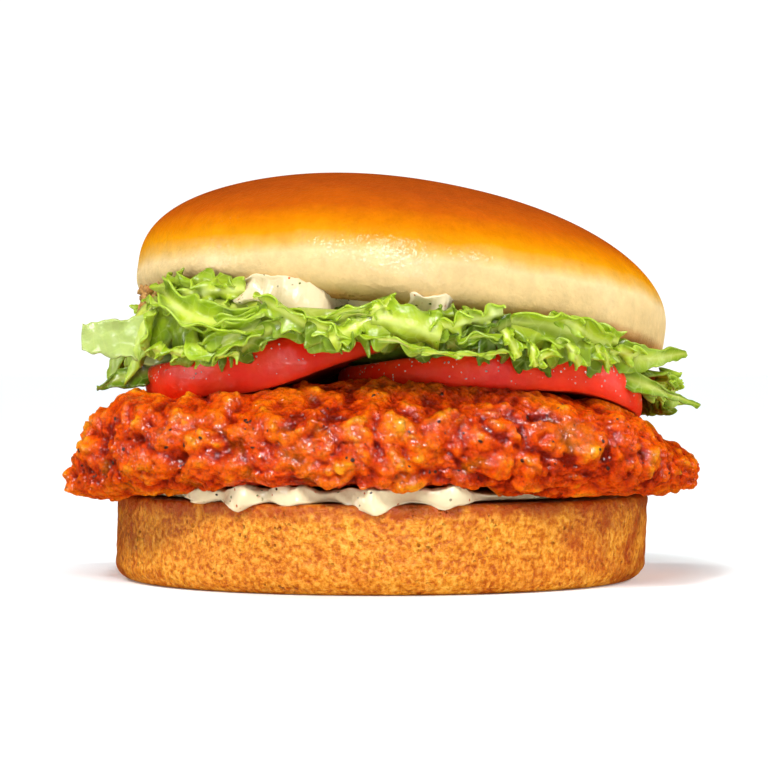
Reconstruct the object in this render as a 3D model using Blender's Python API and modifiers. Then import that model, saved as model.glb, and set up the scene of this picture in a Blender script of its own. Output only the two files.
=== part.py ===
"""A crispy chicken burger, built up from the plate.

Heel, sauce, breaded fillet, two tomato slices, leaf salad, sauce and a leaning crown.
X runs across the front, Y runs to the back and Z is up. Every layer clears the next by GAP.
"""

import math
import random

import bmesh
import bpy
from mathutils import Vector, noise

MM = 0.001
GAP = 0.35 * MM
MERGE = 0.00001

# Lower bun half
HEEL_RADIUS = 52.7 * MM
HEEL_HEIGHT = 17.0 * MM
HEEL_FOOT_ROUND = 3.7 * MM
HEEL_RIM_ROUND = 1.3 * MM
HEEL_CENTRE_X = -0.5 * MM

# Upper bun half: its cut face tips down to the right and to the back
CROWN_RADIUS = 53.0 * MM
CROWN_WALL_HEIGHT = 8.0 * MM
CROWN_DOME_HEIGHT = 22.2 * MM
CROWN_DOME_POWER = 2.1
CROWN_WALL_DEPTH = 9.5 * MM
CROWN_WALL_POWER = 5.0
CROWN_CENTRE = Vector((2.4, 0.0, 48.0)) * MM
CROWN_TURN = (math.radians(-7.4), math.radians(8.0), 0.0)
CROWN_SLOPE_X = -0.14
CROWN_SLOPE_Y = -0.13
CROWN_HOLLOW = 6.4 * MM
CROWN_HOLLOW_RADIUS = 45.0 * MM

# Fillet: an uneven breaded piece, wider than the bun, whose top falls away at both ends
FILLET_HALF_LENGTH = 63.0 * MM
FILLET_HALF_DEPTH = 55.2 * MM
FILLET_TOPS = (
    (-63, 27.0),
    (-58, 34.0),
    (-54, 38.2),
    (-48, 38.2),
    (-42, 36.8),
    (-24, 37.0),
    (-12, 38.2),
    (30, 38.4),
    (42, 37.4),
    (50, 34.2),
    (55, 31.6),
    (62, 30.6),
)
FILLET_MAIN_TOP = 39.4 * MM
FILLET_LEFT_SAG = 3.4 * MM
FILLET_UNDERSIDE = 15.8 * MM
FILLET_FALL_TO_BACK = 0.045
FILLET_LUMPS = ((12 * MM, 2.7 * MM), (7 * MM, 1.7 * MM))
FILLET_OVERHANG = 15.4 * MM

# Tomato slices
TOMATO_THICKNESS = 6.0 * MM
TOMATO_LEFT_RADIUS = 29.4 * MM
TOMATO_LEFT_CENTRE = Vector((-17.6, -12.0, 43.9)) * MM
TOMATO_LEFT_TURN = (math.radians(-2.5), math.radians(-11.5), 0.0)
TOMATO_LEFT_WEDGE = -0.14
TOMATO_LEFT_BELLY = (2.5 * MM, -0.2, 0.45)
TOMATO_RIGHT_RADIUS = 29.6 * MM
TOMATO_RIGHT_CENTRE = Vector((20.8, -13.6, 40.9)) * MM
TOMATO_RIGHT_TURN = (math.radians(-3.2), math.radians(-3.6), 0.0)
TOMATO_RIGHT_WEDGE = 0.18
TOMATO_RIGHT_BELLY = (1.4 * MM, 0.1, 0.5)
TOMATO_RIGHT_SAG = 7.6 * MM

# Sauce
SAUCE_THICKNESS = 1.7 * MM
LOWER_SAUCE_RADIUS = 49.0 * MM
UPPER_SAUCE_RADIUS = 40.0 * MM

# Salad
LEAF_THICKNESS = 0.8 * MM
LEAF_NECK = 9.0 * MM
LEAF_ROOT_DROP = 2.2 * MM
SALAD_CORE_RADIUS = 45.5 * MM


def empty_scene():
    """Removes what the scene holds, so that only the burger is in it."""
    for old in list(bpy.data.objects):
        bpy.data.objects.remove(old, do_unlink=True)


def new_collection(name):
    collection = bpy.data.collections.new(name)
    bpy.context.scene.collection.children.link(collection)
    return collection


def food_material(name, colour, roughness):
    """A Principled material with the food's plain colour."""
    material = bpy.data.materials.new(name)
    material.use_nodes = True
    shader = material.node_tree.nodes["Principled BSDF"]
    shader.inputs["Base Color"].default_value = (*colour, 1.0)
    shader.inputs["Roughness"].default_value = roughness
    shader.inputs["Metallic"].default_value = 0.0
    return material


def new_object(name, mesh, collection, material=None):
    obj = bpy.data.objects.new(name, mesh)
    collection.objects.link(obj)
    if material:
        mesh.materials.clear()
        mesh.materials.append(material)
    return obj


def bake_modifiers(obj):
    """Turns what the modifiers make into the object's own mesh."""
    bpy.context.view_layer.update()
    graph = bpy.context.evaluated_depsgraph_get()
    mesh = bpy.data.meshes.new_from_object(obj.evaluated_get(graph))
    obj.modifiers.clear()
    obj.data = mesh
    return mesh


def turned_mesh(name, profile, segments, collection):
    """A closed profile, from the top of the axis out and down to its foot, turned about Z."""
    mesh = bpy.data.meshes.new(name)
    edges = [(i, i + 1) for i in range(len(profile) - 1)]
    mesh.from_pydata([(radius, 0.0, height) for radius, height in profile], edges, [])
    obj = new_object(name, mesh, collection)
    screw = obj.modifiers.new("Turn", "SCREW")
    screw.steps = segments
    screw.render_steps = segments
    screw.use_merge_vertices = True
    screw.merge_threshold = MERGE
    baked = bake_modifiers(obj)
    bpy.data.objects.remove(obj)
    return baked


def reshape(mesh, rule):
    """Moves each point of the mesh to where the rule puts it."""
    for vertex in mesh.vertices:
        vertex.co = rule(vertex.co.copy())
    mesh.update()


def wander(point, size, seed=0.0):
    """A smooth random height between about -1 and 1 that changes over the given size."""
    return noise.noise(point / size + Vector((seed * 7.31, seed * 3.17, seed)))


def smooth_step(low, high, value):
    share = min(1.0, max(0.0, (value - low) / (high - low)))
    return share * share * (3.0 - 2.0 * share)


def mix(a, b, share):
    return a + (b - a) * share


def arc_points(centre_radius, centre_height, radius, start, end, count):
    """Points of a round profile stretch, with angles in degrees up from the outward direction."""
    angles = [math.radians(mix(start, end, i / count)) for i in range(count + 1)]
    return [
        (centre_radius + radius * math.cos(a), centre_height + radius * math.sin(a))
        for a in angles
    ]


def make_heel(collection, material):
    """The lower bun half: a flat cut top, an upright wall and a rounded foot on a flat base."""
    rim = arc_points(
        HEEL_RADIUS - HEEL_RIM_ROUND, HEEL_HEIGHT - HEEL_RIM_ROUND, HEEL_RIM_ROUND, 90, 0, 2
    )
    foot = arc_points(
        HEEL_RADIUS - HEEL_FOOT_ROUND, HEEL_FOOT_ROUND, HEEL_FOOT_ROUND, 0, -90, 4
    )
    profile = [(0.0, HEEL_HEIGHT), *rim, (HEEL_RADIUS, HEEL_HEIGHT * 0.6), *foot, (0.0, 0.0)]
    mesh = turned_mesh("bun_bottom", profile, 48, collection)

    def soft_wall(co):
        """Lets the wall bulge and dent a little, and leaves both flat faces flat."""
        share = math.hypot(co.x, co.y) / HEEL_RADIUS
        swell = 0.5 * MM * wander(co, 26 * MM, 1) * smooth_step(0.88, 1.0, share)
        lean = 0.5 * MM * co.x / HEEL_RADIUS * (co.z / HEEL_HEIGHT - 0.5)
        scale = 1.0 + (swell + lean) / HEEL_RADIUS
        return Vector((co.x * scale, co.y * scale, co.z))

    reshape(mesh, soft_wall)
    heel = new_object("bun_bottom", mesh, collection, material)
    heel.location = (HEEL_CENTRE_X, 0.0, 0.0)
    return heel


def crown_profile():
    """The bun's dome, its wall tucked in at the cut edge, and the cut face."""
    profile = []
    for i in range(11):
        radius = CROWN_RADIUS * math.sin(math.radians(90 * i / 10))
        fall = max(0.0, 1.0 - (radius / CROWN_RADIUS) ** CROWN_DOME_POWER)
        height = CROWN_DOME_HEIGHT * fall ** (1 / CROWN_DOME_POWER)
        profile.append((radius, CROWN_WALL_HEIGHT + height))
    for height in (5.0, 2.6, 1.0, 0.0):
        below = (CROWN_WALL_HEIGHT - height * MM) / CROWN_WALL_DEPTH
        tuck = (1.0 - below**CROWN_WALL_POWER) ** (1 / CROWN_WALL_POWER)
        profile.append((CROWN_RADIUS * tuck, height * MM))
    return profile + [(0.66 * CROWN_RADIUS, 0.0), (0.36 * CROWN_RADIUS, 0.0), (0.0, 0.0)]


def hollow_depth(radius):
    """How far the crown's cut face is pressed up at this distance from its middle."""
    return CROWN_HOLLOW * max(0.0, 1.0 - (radius / CROWN_HOLLOW_RADIUS) ** 2)


def make_crown(collection, material):
    """The upper bun half: a broad dome over a cut face that is pressed hollow by the filling."""
    mesh = turned_mesh("bun_top", crown_profile(), 44, collection)

    def press(co):
        radius = co.xy.length
        rise = 0.3 * MM * wander(co, 30 * MM, 2) * smooth_step(4 * MM, 16 * MM, co.z)
        inside = 1.0 - smooth_step(0.0, 6 * MM, co.z)
        swell = 1.0 + 0.006 * wander(co, 32 * MM, 3)
        return Vector((co.x * swell, co.y * swell, co.z + rise + inside * hollow_depth(radius)))

    reshape(mesh, press)
    crown = new_object("bun_top", mesh, collection, material)
    crown.location = CROWN_CENTRE
    crown.rotation_euler = CROWN_TURN
    return crown


def cut_face_height(x, y):
    """The height of the crown's cut face, left flat, over a point of the table."""
    return CROWN_CENTRE.z + CROWN_SLOPE_X * (x - CROWN_CENTRE.x) + CROWN_SLOPE_Y * y


def fillet_outline(angle):
    """How far the fillet reaches in this direction: an oval with blunt ends and uneven lobes."""
    across = abs(math.cos(angle)) ** 2.5 / FILLET_HALF_LENGTH**2.5
    deep = abs(math.sin(angle)) ** 2.5 / FILLET_HALF_DEPTH**2.5
    reach = (across + deep) ** (-1 / 2.5)
    lobes = 0.014 * math.sin(3 * angle) + 0.010 * math.sin(7 * angle)
    return reach * (1.0 + lobes)


def along_table(table, value):
    """Reads a table of (place, height) pairs in mm at a place between them."""
    place = min(max(value / MM, table[0][0]), table[-1][0])
    for (x0, h0), (x1, h1) in zip(table, table[1:]):
        if place <= x1:
            return mix(h0, h1, (place - x0) / (x1 - x0)) * MM
    return table[-1][1] * MM


def lumpy(co, size, seed):
    """Rounded lumps with creases between them, from about -0.6 to 0.6."""
    return 0.62 - 1.15 * noise.voronoi(co / size + Vector((seed, seed, seed)))[0][0]


def make_fillet(collection, material):
    """The breaded fillet: an uneven slab covered in lumps, with blunt falling ends."""
    bm = bmesh.new()
    bmesh.ops.create_uvsphere(bm, u_segments=70, v_segments=18, radius=1.0)
    mesh = bpy.data.meshes.new("chicken_fillet")
    bm.to_mesh(mesh)
    bm.free()

    def slab(co):
        """Flattens the sphere to a slab whose edge is rounded and whose faces are broad."""
        angle = math.atan2(co.y, co.x)
        tilt = math.atan2(co.z, co.xy.length) / (math.pi / 2)
        share = max(0.0, 1.0 - abs(tilt) ** 1.6) ** 0.75
        edge = math.copysign(max(0.0, 1.0 - share**8.0) ** (1 / 2.6), tilt)
        reach = fillet_outline(angle) * share
        x, y = reach * math.cos(angle), reach * math.sin(angle)
        top = along_table(FILLET_TOPS, x) - FILLET_FALL_TO_BACK * (y + FILLET_HALF_DEPTH)
        foot = FILLET_UNDERSIDE - FILLET_LEFT_SAG * smooth_step(-46 * MM, -58 * MM, x)
        return Vector((x, y, (top + foot) / 2 + edge * (top - foot) / 2))

    def breading(co, normal):
        """Raises the lumps and keeps the underside clear of the heel and its sauce."""
        calm = mix(1.0, 0.4, smooth_step(0.7, 1.0, abs(normal.z)))
        crags = sum(depth * lumpy(co, size, i) for i, (size, depth) in enumerate(FILLET_LUMPS, 4))
        moved = co + normal * (crags * calm + 0.8 * MM * wander(co, 19 * MM, 8))
        if normal.z < 0.3:
            moved.z = max(moved.z, fillet_floor(moved))
        return moved

    reshape(mesh, slab)
    normals = [vertex.normal.copy() for vertex in mesh.vertices]
    places = [breading(v.co, n) for v, n in zip(mesh.vertices, normals)]
    for vertex, place in zip(mesh.vertices, places):
        vertex.co = place
    mesh.update()
    return new_object("chicken_fillet", mesh, collection, material)


def fillet_floor(co):
    """The lowest the fillet may hang: over the sauce, onto the bare rim, or past the heel."""
    radius = math.hypot(co.x - HEEL_CENTRE_X, co.y)
    angle = math.degrees(math.atan2(co.y, co.x - HEEL_CENTRE_X))
    over_sauce = HEEL_HEIGHT + SAUCE_THICKNESS + 3.4 * GAP
    arch = 1.4 * MM * smooth_step(-136, -128, angle) * smooth_step(-64, -70, angle)
    rim = HEEL_HEIGHT + GAP
    if arch:
        rim = mix(rim, over_sauce + 0.6 * MM, min(1.0, arch / MM))
    past = smooth_step(HEEL_RADIUS + 0.8 * MM, HEEL_RADIUS + 4 * MM, radius)
    inner = smooth_step(LOWER_SAUCE_RADIUS + 0.6 * MM, LOWER_SAUCE_RADIUS + 3 * MM, radius)
    return mix(mix(over_sauce, rim, inner), FILLET_OVERHANG, past)


def tomato_profile(radius):
    """A slice's half section: flat cut faces and a skin that bulges between them."""
    half = TOMATO_THICKNESS / 2
    skin = [math.radians(a) for a in (90, 56, 20, -20, -56, -90)]
    bulge = [(radius - 1.5 * MM * (1 - math.cos(a) ** 0.8), half * math.sin(a)) for a in skin]
    return [(0.0, half), (0.55 * radius, half), *bulge, (0.55 * radius, -half), (0.0, -half)]


def make_tomato(name, radius, centre, turn, wedge, belly, sag, collection, material):
    """A tomato slice, thicker to one side by the wedge and below by the belly.

    The belly is its depth, its place across and its width. The sag bends the right end down.
    """
    mesh = turned_mesh(name, tomato_profile(radius), 36, collection)
    depth, middle, width = belly

    def droop(co):
        across = co.x / radius
        lobes = 1.0 + 0.012 * math.sin(5 * math.atan2(co.y, co.x) + radius / MM)
        drop = sag * max(0.0, across) ** 2.6
        if co.z < 0:
            share = min(1.0, -2 * co.z / TOMATO_THICKNESS)
            drop += share * depth * math.exp(-(((across - middle) / width) ** 2))
        return Vector((co.x * lobes, co.y * lobes, co.z * (1.0 + wedge * across) - drop))

    reshape(mesh, droop)
    slice_object = new_object(name, mesh, collection, material)
    slice_object.location = centre
    slice_object.rotation_euler = turn
    return slice_object


def bump(angle, centre, width):
    """One at the centre angle, in degrees, and fading out over the width."""
    away = (math.degrees(angle) - centre + 180) % 360 - 180
    return math.exp(-((away / width) ** 2))


def make_sauce(name, radius, lobes, hollow, segments, collection, material):
    """A spread layer of sauce, top face at z = 0, whose rim swells, climbs and drips at its lobes.

    Each lobe is (angle, width in degrees, reach, climb, drip). The hollow gives the rise of
    the layer at a distance from its middle.
    """
    half = SAUCE_THICKNESS / 2
    rim = [math.radians(a) for a in (80, 30, -30, -80)]
    profile = [(0.0, half), (0.86 * radius, half)]
    profile += [(0.95 * radius + 0.05 * radius * math.cos(a), half * math.sin(a)) for a in rim]
    profile += [(0.86 * radius, -half), (0.0, -half)]
    mesh = turned_mesh(name, profile, segments, collection)

    def spread(co):
        angle = math.atan2(co.y, co.x)
        length = co.xy.length
        edge = smooth_step(0.88, 0.985, length / radius)
        reach = sum(out * bump(angle, at, width) for at, width, out, _, _ in lobes)
        climb = sum(up * bump(angle, at, width) for at, width, _, up, _ in lobes)
        drip = sum(down * bump(angle, at, width * 0.7) for at, width, _, _, down in lobes)
        wavy = 0.7 * MM * math.sin(5 * angle + 1.0) + 0.4 * MM * math.sin(11 * angle)
        out = 1.0 + edge * (reach + wavy) / radius
        lift = edge * (climb if co.z > 0 else -drip)
        return Vector((co.x * out, co.y * out, co.z - half + lift + hollow(length)))

    reshape(mesh, spread)
    return new_object(name, mesh, collection, material)


# Front leaves: (x, z, out from the crown's wall) in mm at each end of the root, then the
# face's height (below zero it hangs), its lean in degrees, its waves and its ruffle in mm
FRONT_LEAVES = (
    ((-47, 57.5, -2.5), (-33, 57.0, 0.5), -14.0, 10, 1.3, 1.7),
    ((-44, 57.0, 1.0), (-27, 57.0, 1.0), 3.4, 6, 1.7, 1.1),
    ((-40, 56.0, 1.4), (-21, 54.5, 0.8), -9.0, 12, 1.2, 1.8),
    ((-38, 50.5, -1.0), (-23, 50.0, -1.5), -7.0, 4, 2.0, 1.2),
    ((-25, 55.5, 0.6), (-7, 51.5, 0.2), -6.5, 10, 1.2, 1.4),
    ((-16, 53.6, 0.8), (1, 52.4, 0.8), -7.0, 10, 2.0, 1.2),
    ((-5, 52.4, 1.4), (11, 51.6, 1.2), -6.0, 8, 1.1, 1.2),
    ((-3, 50.0, -1.0), (24, 49.0, -1.2), -5.0, 4, 1.7, 1.0),
    ((8, 51.4, 1.8), (19, 50.6, 1.8), 2.6, 8, 1.6, 1.0),
    ((14, 53.2, 0.8), (27, 52.0, 0.4), -8.0, 8, 1.3, 1.4),
    ((23, 51.2, 1.0), (43, 47.6, 0.8), -6.0, 8, 1.6, 1.5),
    ((21, 48.0, -1.2), (34, 46.6, -1.2), -5.0, 4, 1.9, 1.1),
    ((32, 47.2, -1.2), (45, 44.6, -0.8), -4.6, 4, 1.6, 1.0),
)
SIDE_LEAVES = (
    ((-38, 51.8, -7.0), (-59.0, 52.4, 10.6), -8.8, -3, 0.5, 0.8),
    ((-42, 44.4, -4.0), (-55.8, 41.2, 8.2), -4.0, 6, 0.6, 0.8),
    ((32, 48.6, -7.0), (58.8, 46.0, 5.8), -6.0, 4, 0.8, 1.0),
    ((33, 46.2, -7.0), (61.6, 36.6, 8.2), -3.2, 4, 0.4, 0.4),
)
BACK_LEAF_COUNT = 9
BACK_LEAF_ANGLES = (-16.0, 196.0)


def front_root(start, end):
    """The root line of a leaf at the front, from its two ends in the front view."""

    def root(along):
        x, z, out = (mix(a, b, along) * MM for a, b in zip(start, end))
        across = x - CROWN_CENTRE.x
        ring = CROWN_RADIUS + out
        return Vector((x, -math.sqrt(max(0.0, ring**2 - across**2)), z))

    return root


def ring_root(at, half_width, out):
    """The root line of a leaf of the ring under the crown's rim, by its angle from the right."""

    def root(along):
        angle = math.radians(at + half_width * (2 * along - 1))
        ring = CROWN_RADIUS - 2.5 * MM + out
        x, y = CROWN_CENTRE.x + ring * math.cos(angle), ring * math.sin(angle)
        return Vector((x, y, cut_face_height(x, y) - LEAF_ROOT_DROP))

    return root


def leaf_surface(root, face, lean, waves, ruffle, neck):
    """A leaf's face as a rule from (along, across). Across is -0.5 to 0 on the neck, then up to 1."""
    lean = math.radians(lean)

    def surface(along, across):
        base = root(along)
        outward = Vector((base.x - CROWN_CENTRE.x, base.y, 0.0)).normalized()
        if across < 0:
            inner = base - outward * neck
            inner.z = min(base.z, cut_face_height(inner.x, inner.y) - LEAF_ROOT_DROP)
            return base.lerp(inner, -2.0 * across)
        fan = 0.45 + 0.55 * math.sin(math.pi * along) ** 0.6
        lobes = 1.0 + 0.16 * math.sin(2 * math.pi * waves * along * 1.5 + face)
        rise = face * MM * across * fan * lobes
        swing = ruffle * MM * math.sin(2 * math.pi * waves * along + face) * across**0.8
        out = math.sin(lean) * abs(rise) + swing + 1.2 * MM * math.sin(math.pi * across)
        return base + outward * out + Vector((0.0, 0.0, rise * math.cos(lean)))

    return surface


def blade_surface(root, face, lean, waves, ruffle):
    """A leaf that reaches out at the side of the burger: its root line is its midrib's side."""
    lean = math.radians(lean)

    def surface(along, across):
        base = root(along)
        outward = Vector((base.x - CROWN_CENTRE.x, base.y, 0.0)).normalized()
        width = face * MM * (0.75 + 0.25 * math.cos(math.pi * (along - 0.35)))
        drop = width * (across - 0.5)
        swing = ruffle * MM * math.sin(2 * math.pi * waves * along + 3 * across)
        curl = 1.0 * MM * math.sin(math.pi * across)
        side = Vector((-outward.y, outward.x, 0.0)) * math.copysign(1.0, base.x)
        middle = base + Vector((0.0, 0.0, face * MM / 2))
        return middle + Vector((0.0, 0.0, drop)) + side * (swing + curl + drop * math.sin(lean))

    return surface


def back_leaf(number, draw):
    """A leaf of the ring round the sides and the back. It hangs, or juts where there's no room."""
    first, last = BACK_LEAF_ANGLES
    at = mix(first, last, number / (BACK_LEAF_COUNT - 1))
    root = ring_root(at, draw.uniform(10, 13), draw.uniform(-0.4, 0.8) * MM)
    base = root(0.5)
    fillet_top = FILLET_MAIN_TOP - FILLET_FALL_TO_BACK * (base.y + FILLET_HALF_DEPTH)
    room = (base.z - fillet_top) / MM
    face = -max(draw.uniform(0.7, 0.95) * room, draw.uniform(6.0, 8.0))
    lean = max(draw.uniform(8, 22), math.degrees(math.acos(min(1.0, max(0.1, room - 1.5) / -face))))
    return leaf_surface(root, face, lean, draw.uniform(1.2, 1.9), 1.3, LEAF_NECK)


def leaf_object(name, surface, first, columns, rows, collection):
    """The leaf as a thin wavy solid: a triangulated grid, bent to its place and given thickness."""
    bm = bmesh.new()
    bmesh.ops.create_grid(bm, x_segments=columns, y_segments=rows, size=0.5)
    bmesh.ops.triangulate(bm, faces=bm.faces[:])
    for vertex in bm.verts:
        along = vertex.co.x + 0.5
        across = mix(first, 1.0, vertex.co.y + 0.5)
        vertex.co = surface(along, across)
    mesh = bpy.data.meshes.new(name)
    bm.to_mesh(mesh)
    bm.free()
    obj = new_object(name, mesh, collection)
    solidify = obj.modifiers.new("Thickness", "SOLIDIFY")
    solidify.thickness = LEAF_THICKNESS
    solidify.offset = 0.0
    bake_modifiers(obj)
    return obj


def make_core(collection):
    """The bed of leaf under the crown: it lies on the tomato and, behind it, on the fillet."""
    profile = [(0.0, 1.0), (0.6, 1.0), (0.93, 0.8), (1.0, 0.0), (0.93, -0.8), (0.6, -1.0)]
    profile += [(0.0, -1.0)]
    scaled = [(radius * SALAD_CORE_RADIUS, height * MM) for radius, height in profile]
    mesh = turned_mesh("lettuce", scaled, 32, collection)

    def bed(co):
        x, y = co.x + CROWN_CENTRE.x, co.y
        bare = smooth_step(UPPER_SAUCE_RADIUS + 0.5 * MM, UPPER_SAUCE_RADIUS + 2 * MM, co.xy.length)
        ceiling = cut_face_height(x, y) - 1.2 * GAP - (SAUCE_THICKNESS + GAP) * (1.0 - bare)
        behind = smooth_step(4 * MM, 20 * MM, y)
        front = smooth_step(-24 * MM, -38 * MM, y)
        fillet_top = FILLET_MAIN_TOP - FILLET_FALL_TO_BACK * (y + FILLET_HALF_DEPTH)
        floor = mix(43.0 * MM, fillet_top + 2.0 * MM, behind)
        floor = min(mix(floor, ceiling - 4.4 * MM, front), ceiling - 2.5 * MM)
        return Vector((x, y, mix(floor, ceiling, (co.z / MM + 1) / 2)))

    reshape(mesh, bed)
    return new_object("lettuce", mesh, collection)


def grown_copy(obj, gap, collection):
    """A copy of the object whose skin lies the gap further out, to cut a neighbour clear of it."""
    bpy.context.view_layer.update()
    mesh = obj.data.copy()
    mesh.transform(obj.matrix_world)
    places = [vertex.co + vertex.normal * gap for vertex in mesh.vertices]
    for vertex, place in zip(mesh.vertices, places):
        vertex.co = place
    cutter = new_object(obj.name + "_clearance", mesh, collection)
    cutter.hide_render = True
    cutter.display_type = "WIRE"
    return cutter


def cut_clear(obj, neighbours, gap, cutters):
    """Cuts the object back until it clears each neighbour by the gap."""
    for neighbour in neighbours:
        modifier = obj.modifiers.new("Clear", "BOOLEAN")
        modifier.operation = "DIFFERENCE"
        modifier.solver = "MANIFOLD"
        modifier.object = grown_copy(neighbour, gap, cutters)
    bake_modifiers(obj)
    keep_largest_body(obj.data)


def keep_largest_body(mesh):
    """Drops the loose scraps that a cut leaves."""
    bm = bmesh.new()
    bm.from_mesh(mesh)
    waiting = set(bm.verts)
    bodies = []
    while waiting:
        edge = [waiting.pop()]
        body = set(edge)
        while edge:
            vertex = edge.pop()
            for link in vertex.link_edges:
                other = link.other_vert(vertex)
                if other in waiting:
                    waiting.remove(other)
                    body.add(other)
                    edge.append(other)
        bodies.append(body)
    largest = max(bodies, key=len)
    scraps = [vertex for body in bodies if body is not largest for vertex in body]
    bmesh.ops.delete(bm, geom=scraps, context="VERTS")
    bm.to_mesh(mesh)
    bm.free()


def make_lettuce(collection, material, neighbours, cutters):
    """The salad: a bed of leaf with its frills, side leaves and back leaves fused on."""
    pieces = new_collection("salad_pieces")
    draw = random.Random(7)
    for number, (start, end, *shape) in enumerate(FRONT_LEAVES):
        surface = leaf_surface(front_root(start, end), *shape, LEAF_NECK)
        leaf_object(f"front_leaf_{number}", surface, -0.5, 7, 2, pieces)
    for number, (start, end, *shape) in enumerate(SIDE_LEAVES):
        surface = blade_surface(front_root(start, end), *shape)
        leaf_object(f"side_leaf_{number}", surface, 0.0, 7, 2, pieces)
    for number in range(BACK_LEAF_COUNT):
        leaf_object(f"back_leaf_{number}", back_leaf(number, draw), -0.5, 6, 2, pieces)
    core = make_core(collection)
    core.data.materials.append(material)
    union = core.modifiers.new("Fuse", "BOOLEAN")
    union.operation = "UNION"
    union.solver = "MANIFOLD"
    union.operand_type = "COLLECTION"
    union.collection = pieces
    bake_modifiers(core)
    for piece in list(pieces.objects):
        bpy.data.objects.remove(piece)
    bpy.data.collections.remove(pieces)
    cut_clear(core, neighbours, GAP, cutters)
    return core


def stand_on_origin(parts):
    """Parents every part to one empty and puts the middle of the burger's foot on the origin."""
    bpy.context.view_layer.update()
    corners = [obj.matrix_world @ Vector(c) for obj in parts for c in obj.bound_box]
    low = Vector([min(c[i] for c in corners) for i in range(3)])
    high = Vector([max(c[i] for c in corners) for i in range(3)])
    holder = bpy.data.objects.new("burger", None)
    parts[0].users_collection[0].objects.link(holder)
    holder.location = (-(low.x + high.x) / 2, -(low.y + high.y) / 2, -low.z)
    for obj in parts:
        obj.parent = holder


def main():
    empty_scene()
    burger = new_collection("chicken_burger")
    cutters = new_collection("clearances")
    cutters.hide_render = True
    crust = food_material("bun_crust", (0.78, 0.42, 0.14), 0.35)
    heel_crust = food_material("heel_crust", (0.80, 0.44, 0.13), 0.6)
    breading = food_material("spiced_breading", (0.75, 0.17, 0.03), 0.3)
    tomato = food_material("tomato", (0.68, 0.05, 0.02), 0.25)
    leaf = food_material("lettuce", (0.33, 0.55, 0.06), 0.4)
    sauce = food_material("sauce", (0.88, 0.80, 0.58), 0.25)

    heel = make_heel(burger, heel_crust)
    fillet = make_fillet(burger, breading)
    crown = make_crown(burger, crust)
    left = make_tomato(
        "tomato_left",
        TOMATO_LEFT_RADIUS,
        TOMATO_LEFT_CENTRE,
        TOMATO_LEFT_TURN,
        TOMATO_LEFT_WEDGE,
        TOMATO_LEFT_BELLY,
        0.0,
        burger,
        tomato,
    )
    right = make_tomato(
        "tomato_right",
        TOMATO_RIGHT_RADIUS,
        TOMATO_RIGHT_CENTRE,
        TOMATO_RIGHT_TURN,
        TOMATO_RIGHT_WEDGE,
        TOMATO_RIGHT_BELLY,
        TOMATO_RIGHT_SAG,
        burger,
        tomato,
    )

    cut_clear(fillet, [left, right], GAP, cutters)

    low_lobes = (
        (-131, 6, 5.0 * MM, 0.4 * MM, 1.2 * MM),
        (-119, 6, 5.2 * MM, 0.6 * MM, 2.6 * MM),
        (-109, 6, 5.2 * MM, 1.0 * MM, 1.4 * MM),
        (-92, 8, 5.6 * MM, 1.2 * MM, 2.8 * MM),
        (-76, 7, 5.2 * MM, 0.8 * MM, 1.8 * MM),
    )
    low_sauce = make_sauce(
        "sauce_lower", LOWER_SAUCE_RADIUS, low_lobes, lambda radius: 0.0, 44, burger, sauce
    )
    low_sauce.location = (HEEL_CENTRE_X, 0.0, HEEL_HEIGHT + GAP + SAUCE_THICKNESS)
    cut_clear(low_sauce, [heel], GAP, cutters)
    cut_clear(low_sauce, [fillet], 2 * GAP, cutters)

    high_lobes = (
        (-119, 8, 11.0 * MM, 1.8 * MM, 0.8 * MM),
        (-106, 8, 10.6 * MM, 1.4 * MM, 1.6 * MM),
        (-83, 10, 13.6 * MM, 0.8 * MM, 2.0 * MM),
        (-57, 6, 12.8 * MM, 0.6 * MM, 1.0 * MM),
        (-32, 6, 13.2 * MM, 0.6 * MM, 1.4 * MM),
    )
    high_sauce = make_sauce(
        "sauce_upper", UPPER_SAUCE_RADIUS, high_lobes, hollow_depth, 40, burger, sauce
    )
    high_sauce.rotation_euler = CROWN_TURN
    high_sauce.location = CROWN_CENTRE - Vector((0.0, 0.0, GAP))
    cut_clear(high_sauce, [crown, left, right], GAP, cutters)

    neighbours = [crown, high_sauce, left, right, fillet]
    lettuce = make_lettuce(burger, leaf, neighbours, cutters)
    stand_on_origin([heel, low_sauce, fillet, left, right, lettuce, high_sauce, crown])


main()
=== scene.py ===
"""The chicken burger as it looks: glazed bun, craggy spiced fillet, wet tomato, frilly salad, sauce.

Sizes and forms repeat the solids' own, in finer steps. X runs across the front, Y to the back, Z up.
"""

import math
import random

import bmesh
import bpy
from mathutils import Euler, Matrix, Vector, noise


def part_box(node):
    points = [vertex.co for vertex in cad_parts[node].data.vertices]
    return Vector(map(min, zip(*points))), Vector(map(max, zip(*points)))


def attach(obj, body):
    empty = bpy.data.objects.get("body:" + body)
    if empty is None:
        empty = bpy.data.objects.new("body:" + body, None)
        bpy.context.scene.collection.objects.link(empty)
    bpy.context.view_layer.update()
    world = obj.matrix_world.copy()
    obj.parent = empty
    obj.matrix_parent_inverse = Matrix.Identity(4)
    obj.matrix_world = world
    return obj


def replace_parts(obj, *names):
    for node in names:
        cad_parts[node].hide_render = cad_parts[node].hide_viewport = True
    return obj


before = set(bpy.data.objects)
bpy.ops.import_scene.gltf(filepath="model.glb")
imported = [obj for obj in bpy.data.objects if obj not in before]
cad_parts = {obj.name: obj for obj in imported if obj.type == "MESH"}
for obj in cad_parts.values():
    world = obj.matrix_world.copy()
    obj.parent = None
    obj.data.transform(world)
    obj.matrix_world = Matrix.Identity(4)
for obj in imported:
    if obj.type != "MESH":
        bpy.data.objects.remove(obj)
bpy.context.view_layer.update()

MM = 0.001
GAP = 0.35 * MM

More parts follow.
